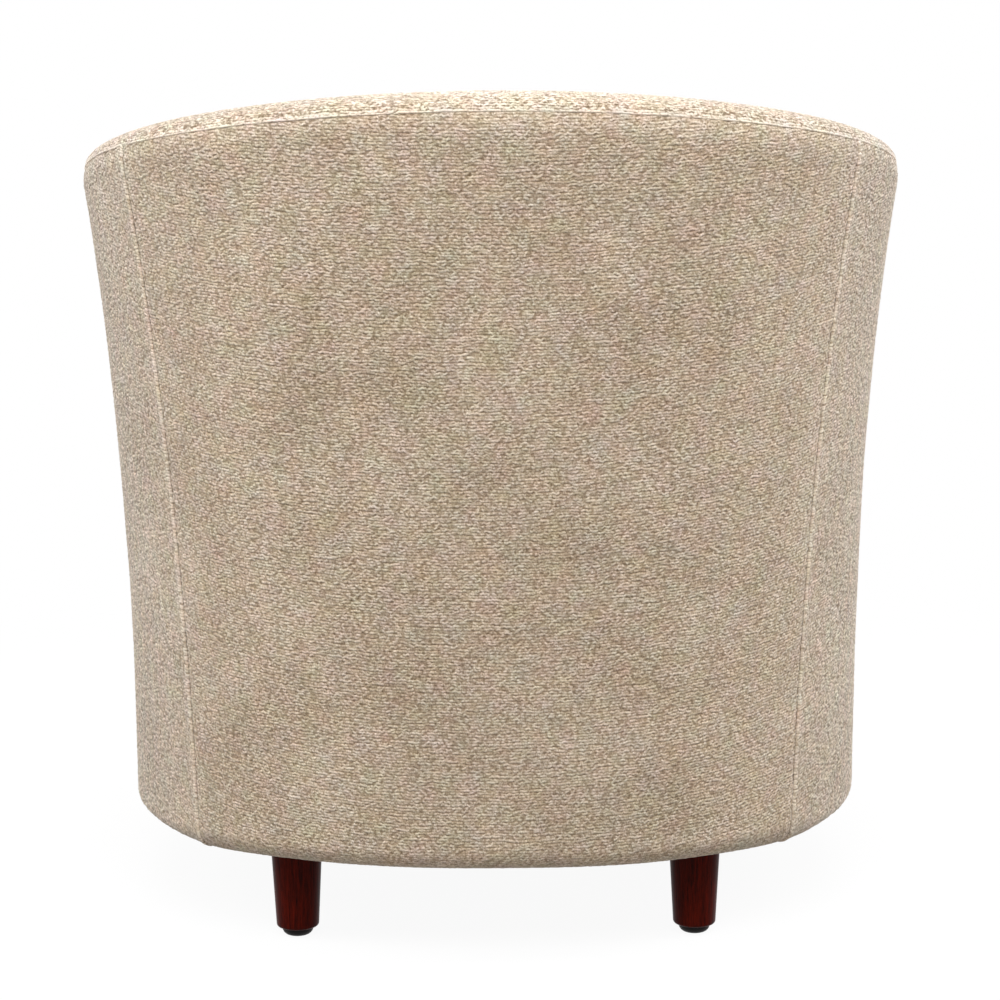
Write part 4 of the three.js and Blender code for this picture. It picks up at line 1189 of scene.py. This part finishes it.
def mahogany_stain_under_lacquer(tree, spot):
    """Turned hardwood under mahogany stain and satin lacquer: deep red, with darker streaks along it."""
    grain = noise(tree, spot, GRAIN, 3.0, Distortion=0.4)
    pores = noise(tree, spot, PORES, 1.0)
    stain = ramp(tree, scaled(tree, pores, 0.5, grain), [(0.45, "#1b0301"), (1.0, "#561206")])
    surface(tree, stain, scaled(tree, grain, 0.12, 0.26), pores, 0.03 * MM, 0.04)


def moulded_black_nylon(tree, spot):
    """Black injection-moulded nylon: nearly black, satin, with a fine even texture from the mould."""
    scuffs = noise(tree, spot, 6 * MM, 4.0)
    surface(tree, blend(tree, scuffs, "#0a0706", "#1a1311"), scaled(tree, scuffs, 0.3, 0.3),
            noise(tree, spot, 0.6 * MM), 0.05 * MM, 0.12)


# %% Legs and glides
LEG_TOP_RADIUS = 23.5 * MM
LEG_FOOT_RADIUS = 19.75 * MM
LEG_FOOT_ROUND = 3 * MM
LEG_CHAMFER = 1.5 * MM
BORE_RADIUS = 4.4 * MM
BORE_DEPTH = 36.4 * MM
GLIDE_FLAT_RADIUS = 7.5 * MM
GLIDE_LIP = 0.9 * MM


def leg_profile(low, high):
    """Rounded foot, straight taper, rounded top edge and the bolt's bore."""
    foot = arc((LEG_FOOT_RADIUS - LEG_FOOT_ROUND, low + LEG_FOOT_ROUND), [LEG_FOOT_ROUND] * 2, -90, 0, 8)
    top = arc((LEG_TOP_RADIUS - LEG_CHAMFER, high - LEG_CHAMFER), [LEG_CHAMFER] * 2, 0, 90, 5)
    floor = high - BORE_DEPTH
    return [(0, low), *foot, *top, (BORE_RADIUS, high), (BORE_RADIUS, floor), (0, floor)]


def glide_profile(low, high, radius):
    """Small flat, a quarter of an ellipse up to a short straight rim, and a flat top."""
    rim = high - GLIDE_LIP
    dome = arc((GLIDE_FLAT_RADIUS, rim), (radius - GLIDE_FLAT_RADIUS, rim - low), -90, 0, 12)
    return [(0, low), *dome, (radius, high), (0, high)]


MAHOGANY = finish(mahogany_stain_under_lacquer)
NYLON = finish(moulded_black_nylon)
for corner in ("front_left", "front_right", "back_left", "back_right"):
    low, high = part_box(f"leg_{corner}")
    x, y = (low.x + high.x) / 2, (low.y + high.y) / 2
    leg = turned(f"turned_leg_{corner}", leg_profile(low.z, high.z), x, y)
    dress(leg, MAHOGANY, replaces=[f"leg_{corner}"])
    low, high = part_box(f"glide_{corner}")
    glide = turned(f"moulded_glide_{corner}", glide_profile(low.z, high.z, (high.x - low.x) / 2), x, y)
    dress(glide, NYLON, replaces=[f"glide_{corner}"])

# %% [markdown]
# ## Wood and steel inside
# The rails are sawn from plywood, so their faces show its layers, and the posts and blocks are planed beech
# with its short dark flecks. The springs are drawn wire and the clips and bolts are zinc plated. These
# parts already have their true shape in the frame, so they only get a finish. All patterns read Object
# coordinates, in metres, so one material fits every part.

# %% Wood and steel
PLY_LAYER = 1.8 * MM
PLY_GRAIN = (9 * MM, 9 * MM, 0.7 * MM)
BEECH_FLECKS = (0.8 * MM, 0.8 * MM, 5 * MM)


def sawn_birch_plywood(tree, spot):
    """Birch plywood, sawn and sanded: thin level layers, every other one darker, with faint grain."""
    height = add(tree, "ShaderNodeSeparateXYZ", {0: spot}).outputs[2]
    layers = maths(tree, "SINE", maths(tree, "MULTIPLY", height, math.pi / PLY_LAYER))
    grain = noise(tree, spot, PLY_GRAIN, 3.0)
    surface(tree, blend(tree, scaled(tree, layers, 0.35, grain), "#a98758", "#d9bf94"), 0.7, grain,
            0.1 * MM)


def planed_beech(tree, spot):
    """Steamed beech, planed: pinkish tan with short darker flecks of the rays."""
    flecks = noise(tree, spot, BEECH_FLECKS)
    tone = scaled(tree, flecks, 0.7, noise(tree, spot, 70 * MM, 3.0))
    surface(tree, blend(tree, tone, "#b08a5e", "#d6b488"), 0.6, flecks, 0.08 * MM)


def drawn_spring_wire(tree, spot):
    """Hard-drawn spring wire: grey, with fine scratches from the die and an oily sheen."""
    oil = noise(tree, spot, 25 * MM)
    scratches = noise(tree, spot, 0.8 * MM, 3.0)
    surface(tree, blend(tree, oil, "#7d7f81", "#989b9e"), scaled(tree, scratches, 0.3, 0.25), metallic=1.0)


def zinc_plated_steel(tree, spot):
    """Steel with a bright passivated zinc coat: pale grey that turns faintly yellow and blue in patches."""
    patches = noise(tree, spot, 4 * MM, 3.0)
    surface(tree, blend(tree, patches, "#b9b59f", "#a9b6c4"), scaled(tree, patches, 0.3, 0.22), metallic=1.0)


# %% Finishes for the frame's own parts
ZINC = finish(zinc_plated_steel)
FRAME_FINISHES = [
    (finish(sawn_birch_plywood), ("top_rail_", "base_rail_back", "base_rail_left", "base_rail_right")),
    (finish(planed_beech), ("base_rail_front", "seat_rail_", "back_post_", "side_post_", "arm_post_",
                            "leg_block_")),
    (finish(drawn_spring_wire), ("seat_spring_",)),
    (ZINC, ("spring_clip_", "leg_bolt_")),
]
for material, prefixes in FRAME_FINISHES:
    names = [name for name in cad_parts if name.startswith(prefixes)]
    for name in names:
        for material_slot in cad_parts[name].material_slots:
            material_slot.material = material
    print(material.name, "on", len(names), "parts")

# %% [markdown]
# ## Under the cover
# Foam lies over the rail and behind the inside cover, on a backing of woven jute. A felt pad covers the
# springs and a thin fleece closes the chair underneath. The foam is one grid in front and one behind,
# closed round its edge. Jute and fleece are sheets that are stapled tight, so they are drawn flat, and the
# fleece only sags a little in its middle.

# %% Foam, jute, felt and fleece
FOAM_CELL = 1.4 * MM
JUTE_PITCH = 2.2 * MM
JUTE_SLUB = 3 * MM
FELT_FIBRE = 0.9 * MM
FELT_SHRED = 5 * MM
FELT_FLECKS = 0.07  # how plainly the shreds' own colours show
FLEECE_FIBRE = 0.7 * MM


def cut_foam(tree, spot):
    """Polyurethane foam sawn from a block: cream, matt and full of open cells."""
    cells = add(tree, "ShaderNodeTexVoronoi", {"Vector": spot, "Scale": 1 / FOAM_CELL})
    tone = scaled(tree, cells, -0.5, noise(tree, spot, 80 * MM))
    surface(tree, blend(tree, tone, "#d8c9a2", "#f0e9d6"), 0.95, cells, 0.5 * MM, 0.1)


def woven_jute(tree, _):
    """Hessian: coarse jute threads in a plain weave, over and under, with slubs, along the cloth's UVs."""
    place = add(tree, "ShaderNodeUVMap", uv_map="cloth")
    waves = [maths(tree, "SINE", maths(tree, "MULTIPLY", along, math.pi / JUTE_PITCH))
             for along in add(tree, "ShaderNodeSeparateXYZ", {0: place}).outputs[:2]]
    tone = scaled(tree, maths(tree, "MULTIPLY", *waves), 0.4, noise(tree, place, JUTE_SLUB, 3.0))
    surface(tree, blend(tree, tone, "#7f6841", "#bfa77c"), 0.9, tone, 0.5 * MM, 0.2)


def needled_felt(tree, spot):
    """Felt needled from shredded cloth: grey, with short fibres and flecks of other colours."""
    fibre = noise(tree, spot, FELT_FIBRE, 3.0)
    shreds = add(tree, "ShaderNodeTexVoronoi", {"Vector": spot, "Scale": 1 / FELT_SHRED})
    grey = blend(tree, fibre, "#6d6a66", "#a5a19a")
    surface(tree, blend(tree, FELT_FLECKS, grey, shreds.outputs["Color"]), 0.95, fibre, 0.6 * MM, 0.1)


def bonded_black_fleece(tree, spot):
    """Spun-bonded dust cover: black, thin, with a soft random lie of fibres."""
    fibre = noise(tree, spot, FLEECE_FIBRE, Distortion=1.5)
    surface(tree, blend(tree, fibre, "#121213", "#2b2b2c"), 0.85, fibre, 0.15 * MM, 0.2)


# %% Rail padding and jute backing
PAD_UNDER_SEAM = 17 * MM  # top of the wooden rail below the rail seam
TOP_RAIL_THICKNESS = 22 * MM
LEAF_INWARD = 60 * MM  # back of the foam behind the inside cover
BACKING_THICKNESS = 1.5 * MM
PADDING_GRID = (181, 14, 18)  # columns, rows over the roll, rows down the inside
LEAF_ROWS = 14
JUTE_GRID = (161, 24)


def rail_padding():
    """Front grid: over the roll and down behind the cover. Back grid: along the rail and down the leaf."""
    s = whole_wall(PADDING_GRID[0])
    depth = COVER_THICKNESS + GAP
    front, uv_front = inside_grid(s, roll_line(depth, PADDING_GRID[1]), PADDING_GRID[2])
    shelf = rail(s)[:, None] - PAD_UNDER_SEAM
    z = np.concatenate([shelf, shelf + (INSIDE_FOOT - shelf) * np.linspace(0, 1, LEAF_ROWS)[None, :]], 1)
    inward = np.concatenate([[depth + shoulder(PAD_UNDER_SEAM)], np.full(LEAF_ROWS, LEAF_INWARD)])
    behind = wall(s[:, None], inward[None, :], z)
    return make_piece("inside_padding_foam", *shell(front, behind, uv_front, columns(s[:, None], z)))


def cut_size(grid):
    """Largest width and length of a grid along its own lines, and its area by half cross products."""
    across, up = (float(np.linalg.norm(np.diff(grid, axis=axis), axis=2).sum(axis).max()) for axis in (0, 1))
    diagonals = grid[1:, 1:] - grid[:-1, :-1], grid[1:, :-1] - grid[:-1, 1:]
    return (across, up), float(np.linalg.norm(np.cross(*diagonals), axis=2).sum() / 2)


def jute_backing():
    """Two grids a cloth's thickness apart, from the deck to the underside of the top rail."""
    s = whole_wall(JUTE_GRID[0])[:, None]
    high = rail(s) - PAD_UNDER_SEAM - TOP_RAIL_THICKNESS - 2 * GAP
    z = INSIDE_FOOT + (high - INSIDE_FOOT) * np.linspace(0, 1, JUTE_GRID[1])[None, :]
    near, far = (wall(s, LEAF_INWARD - GAP - thickness, z) for thickness in (BACKING_THICKNESS, 0))
    uv = columns(s, z)
    return make_piece("inside_backing_jute", *shell(near, far, uv, uv)), cut_size(far)


def stapled_tight(made, material, node):
    piece, (flat, area) = made
    dress(piece, material, replaces=[node])
    print(f"{node} was cut to, m:", [round(value, 3) for value in flat], "area, m2:", round(area, 3))


FOAM = finish(cut_foam)
dress(rail_padding(), FOAM, replaces=["inside_padding"])
stapled_tight(jute_backing(), finish(woven_jute), "inside_backing")

# %% Deck pad and dust cover
DECK_EDGE = 3 * MM  # rounding of the pad's edges
PLATE_CELL = 12 * MM
FLEECE_THICKNESS = 1.2 * MM
FLEECE_SAG = 3 * MM
FLEECE_LEVEL = 0.55  # share of the crown below which it stays level
FLEECE_HOLE = 9 * MM  # opened round each bolt, and hidden by the leg's top


def plan_edges(depth, z, front_y):
    """Four edges of a level plate inside the wall: a straight front, two sides and the back."""
    side, back = side_and_back(depth, z, front_y)
    right = np.concatenate([[[side[0, 0], front_y]], side])
    left = (right * MIRROR)[::-1]
    return np.array([left[-1], right[0]]), right, back, left


def deck_pad():
    """A flat pad: its side is four rings that round over into the grids above and below."""
    low, high = (corner.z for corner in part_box("seat_deck"))
    grid = filled(plan_edges(LEAF_INWARD, low, arm_front_y), PLATE_CELL)
    flat = 1 - DECK_EDGE / grid[..., 0].max()
    half = (1 + flat) / 2
    heights = [low, low + DECK_EDGE / 4, low + DECK_EDGE, high - DECK_EDGE, high - DECK_EDGE / 4, high]
    return make_piece("seat_deck_felt", *plate(grid, [flat, half, 1, 1, half, flat], heights))


def dust_cover():
    """A grid that sags in its middle by 3 mm x (share of the crown)^2, without the cells at the bolts."""
    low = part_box("dust_cover")[0].z
    flat = filled(plan_edges(HEM_WIDTH + GAP, low, arm_front_y + GAP), PLATE_CELL)
    sag = FLEECE_SAG * unit((crown_of(flat) - FLEECE_LEVEL) / (1 - FLEECE_LEVEL)) ** 2
    grid = with_height(flat, low + FLEECE_THICKNESS / 2 - sag)
    quads = grid_quads(numbered(flat))
    bolts = np.array([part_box(name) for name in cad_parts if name.startswith("leg_bolt_")]).mean(1)
    apart = np.linalg.norm(joined(flat)[quads].mean(1)[:, None] - bolts[None, :, :2], axis=2).min(1)
    used, faces = np.unique(quads[apart > FLEECE_HOLE], return_inverse=True)
    faces = faces.reshape(-1, 4)
    points = joined(grid)[used]
    piece = make_piece("dust_cover_fleece", points, [faces], [points[faces][..., :2]])
    thick = piece.modifiers.new("thickness", "SOLIDIFY")
    thick.thickness = FLEECE_THICKNESS
    thick.offset = 0
    return piece, cut_size(grid)


dress(deck_pad(), finish(needled_felt), replaces=["seat_deck"])
stapled_tight(dust_cover(), finish(bonded_black_fleece), "dust_cover")

# %% [markdown]
# ## Inside the cushion, and its zip
# The cushion's foam is the same box of grids as its case, a few millimetres smaller all round. The zip runs
# across the back of the case: two woven tapes with a nylon coil between them, whose teeth alternate, and a
# slider parked at one end. The coil is a surface whose height is a half round times a cosine along its
# length.

# %% Cushion foam
CORE_INSET = 4 * MM

core = make_piece("seat_cushion_foam", *cushion_shape(CORE_INSET)[1])
soften(core)
dress(core, FOAM, body="seat_cushion", replaces=["seat_cushion_core"])

# %% Zip
ZIP_HALF_WIDTH = 3.7 * MM
TAPE_RISE = 0.5 * MM
TAPE_UNDER = 1.0 * MM
COIL_HALF_WIDTH = 2.1 * MM
COIL_PITCH = 1.6 * MM
COIL_RISE = 1.2 * MM
COIL_VALLEY = 0.6  # share of the coil's rise, with the teeth adding and taking off the rest
SLIDER_HALF = np.array([4.6, 1.3, 3.6]) * MM
PULL_HALF = np.array([9.0, 0.5, 2.4]) * MM
PULL_OVERLAP = 0.6  # of the pull's half length
SLIDER_FROM_END = 14 * MM
BLOCK_POWER = 0.4  # 1 is an ellipsoid, 0 a box
BACK_REGION = 60 * MM  # how far forwards the rings' points count as the cushion's back
TEETH_STEPS = 6  # columns for each tooth
TAPE_ROWS, TAPE_BACK = 17, (60, 3)
BLOCK_GRID = (40, 21)

ZIP_LOW, ZIP_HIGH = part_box("seat_cushion_zip")
ZIP_MIDDLE = (ZIP_LOW.z + ZIP_HIGH.z) / 2


def back_of_cushion(x, z):
    """Y of the cushion's back at places x and heights z, straight between the points of its rings."""
    at_back = np.flatnonzero(cushion_side[0, :, 1] > cushion_side[0, :, 1].max() - BACK_REGION)
    at_back = at_back[np.argsort(cushion_side[0, at_back, 0])]
    heights = cushion_side[:, at_back, 2].mean(1)
    rows = np.stack([np.interp(x, row[at_back, 0], row[at_back, 1]) for row in cushion_side])
    ring = np.clip(np.searchsorted(heights, z) - 1, 0, len(heights) - 2)
    share = ((z - heights[ring]) / (heights[ring + 1] - heights[ring]))[:, None]
    return rows[ring] * (1 - share) + rows[ring + 1] * share


def zip_tape():
    """Tape with a coil: rise = tape + coil sqrt(1 - (v / half)^2) (0.6 + 0.4 cos(2 pi x / pitch))."""

    def strip(along, across, rise):
        """A grid over the zip, at a rise above the cushion's back."""
        x = np.linspace(-ZIP_HIGH.x, ZIP_HIGH.x, along)[None, :]
        v = np.linspace(-ZIP_HALF_WIDTH, ZIP_HALF_WIDTH, across)[:, None]
        return columns(x, back_of_cushion(x[0], ZIP_MIDDLE + v[:, 0]) + rise(x, v), ZIP_MIDDLE + v)

    def coil(x, v):
        """The rise of tape and coil."""
        across = np.sqrt(unit(1 - (v / COIL_HALF_WIDTH) ** 2))
        teeth = np.cos(2 * math.pi * x / COIL_PITCH + math.pi * (v > 0))
        return TAPE_RISE + COIL_RISE * across * (COIL_VALLEY + (1 - COIL_VALLEY) * teeth)

    outer = strip(int(2 * ZIP_HIGH.x / COIL_PITCH * TEETH_STEPS), TAPE_ROWS, coil)
    inner = strip(*TAPE_BACK, lambda x, v: -TAPE_UNDER)
    return make_piece("seat_cushion_zip_coil", *shell(outer, inner, outer[..., [0, 2]], inner[..., [0, 2]]))


def rounded_block(centre, half):
    """Superellipsoid: x = a C(v) C(u), y = b C(v) S(u), z = c S(v), cosine and sine to a power."""
    u = np.linspace(0, 2 * math.pi, BLOCK_GRID[0], endpoint=False)[None, :]
    v = np.linspace(-math.pi / 2, math.pi / 2, BLOCK_GRID[1])[1:-1, None]
    cos_u, sin_u, cos_v, sin_v = (np.sign(w) * np.abs(w) ** BLOCK_POWER
                                  for w in (np.cos(u), np.sin(u), np.cos(v), np.sin(v)))
    rings = centre + columns(cos_v * cos_u, cos_v * sin_u, sin_v) * half
    return closed_rings(rings, *(centre + np.array([0, 0, side * half[2]]) for side in (-1, 1)))


def zip_slider():
    """Slider body and its flat pull, side by side along the coil."""
    x = ZIP_HIGH.x - SLIDER_FROM_END
    y = float(back_of_cushion(np.array([x]), np.array([ZIP_MIDDLE]))[0, 0])
    body, body_faces = rounded_block(np.array([x, y + SLIDER_HALF[1], ZIP_MIDDLE]), SLIDER_HALF)
    pull_place = np.array([x - SLIDER_HALF[0] - PULL_HALF[0] * PULL_OVERLAP,
                           y + 2 * SLIDER_HALF[1] + PULL_HALF[1] / 2, ZIP_MIDDLE])
    pull, pull_faces = rounded_block(pull_place, PULL_HALF)
    faces = body_faces + [face + len(body) for face in pull_faces]
    return make_piece("seat_cushion_zip_slider", np.concatenate([body, pull]), faces)


def polyester_zip(tree, spot):
    """Polyester tape with a nylon coil, dyed together: beige, darker than the cloth, with a fine rib."""
    threads = noise(tree, spot, 0.5 * MM)
    surface(tree, blend(tree, threads, "#857861", "#b7aa93"), 0.6, threads, 0.1 * MM, 0.4)


dress(zip_tape(), finish(polyester_zip), body="seat_cushion", replaces=["seat_cushion_zip"])
dress(zip_slider(), ZINC, body="seat_cushion")

# %% [markdown]
# ## The studio
# A packshot stands on a white sweep under large soft lights. One wide lamp hangs over the chair and makes
# the top of the rail brightest. One stands high behind the chair, so that the wall grows darker towards the
# floor, two tall ones at the left and right brighten the arms, and one lights the front for the views from
# there. The white of the floor and the world is only for the camera and for reflections. The light that
# they throw back on the chair stays modest, so a colour renders about as it is written.

# %% Floor, world and lamps
WORLD_LIGHT = 0.35
WHITE = "#ffffff"
LAMPS = [
    # name, power in watts, place, what it looks at, size, colour
    ("overhead", 27.0, (0.0, 0.5, 2.9), (0.0, 0.1, 0.5), (3.0, 2.6), "#eff5ff"),
    ("side_left", 32.0, (2.4, 0.25, 1.7), (0.2, 0.0, 0.5), (0.8, 1.3), WHITE),
    ("side_right", 37.0, (-2.4, -0.15, 1.7), (-0.2, 0.0, 0.5), (0.8, 1.3), WHITE),
    ("behind", 35.5, (0.0, 1.6, 2.0), (0.0, 0.35, 0.6), (1.8, 0.9), WHITE),
    ("front", 20.0, (0.0, -2.2, 2.0), (0.0, -0.1, 0.5), (2.2, 1.4), WHITE),
]
FLOOR_HALF = 7.0
FLOOR_GLOW = 0.94  # share of plain white in the floor near the chair, where its shadow lies
GLOW_FADE = (0.8, 1.6)  # metres from the chair over which that share rises to 1
FLOOR_BOUNCE = "#a4a29f"  # what the chair gets back from the floor


def seen_directly(tree):
    """1 for rays from the camera and from glossy surfaces, and 0 for the light on the chair."""
    path = add(tree, "ShaderNodeLightPath")
    return maths(tree, "MAXIMUM", path.outputs["Is Camera Ray"], path.outputs["Is Glossy Ray"])


def studio_floor(tree, spot):
    """Matt white studio floor that shows to the camera as nearly pure white, with the chair's soft shadow."""
    seen = seen_directly(tree)
    reach = add(tree, "ShaderNodeVectorMath", {0: spot}, operation="LENGTH")
    glow_share = add(tree, "ShaderNodeMapRange", {0: reach.outputs["Value"], 1: GLOW_FADE[0], 2: GLOW_FADE[1],
                                                  3: FLOOR_GLOW, 4: 1.0}, interpolation_type="SMOOTHSTEP")
    matt = add(tree, "ShaderNodeBsdfDiffuse", {0: blend(tree, seen, FLOOR_BOUNCE, WHITE)})
    glow = add(tree, "ShaderNodeEmission", {0: WHITE, 1: 1.0})
    share = maths(tree, "MULTIPLY", seen, glow_share)
    add(tree, "ShaderNodeOutputMaterial", {0: add(tree, "ShaderNodeMixShader", {0: share, 1: matt, 2: glow})})


def studio():
    """A pale floor, a white world and five large lamps."""
    mesh = bpy.data.meshes.new("floor")
    corners = [(x * FLOOR_HALF, y * FLOOR_HALF, 0) for x, y in ((-1, -1), (1, -1), (1, 1), (-1, 1))]
    mesh.from_pydata(corners, [], [(0, 1, 2, 3)])
    mesh.materials.append(finish(studio_floor))
    floor = bpy.data.objects.new("floor", mesh)
    bpy.context.scene.collection.objects.link(floor)
    world = bpy.data.worlds.new("studio")
    bpy.context.scene.world = world
    world.use_nodes = True
    tree = world.node_tree
    tree.nodes.clear()
    strength = scaled(tree, seen_directly(tree), 1 - WORLD_LIGHT, WORLD_LIGHT)
    add(tree, "ShaderNodeOutputWorld", {0: add(tree, "ShaderNodeBackground", {0: WHITE, 1: strength})})
    for name, power, place, aim, size, colour in LAMPS:
        lamp_data = bpy.data.lights.new(name, "AREA")
        lamp_data.shape = "RECTANGLE"
        lamp_data.size, lamp_data.size_y = size
        lamp_data.energy = power
        lamp_data.color = linear(colour)[:3]
        lamp = bpy.data.objects.new(name, lamp_data)
        lamp.location = place
        lamp.rotation_mode = "QUATERNION"
        lamp.rotation_quaternion = (Vector(place) - Vector(aim)).to_track_quat("Z", "Y")
        lamp.visible_camera = False
        bpy.context.scene.collection.objects.link(lamp)


studio()
bpy.context.scene.view_settings.view_transform = "Standard"
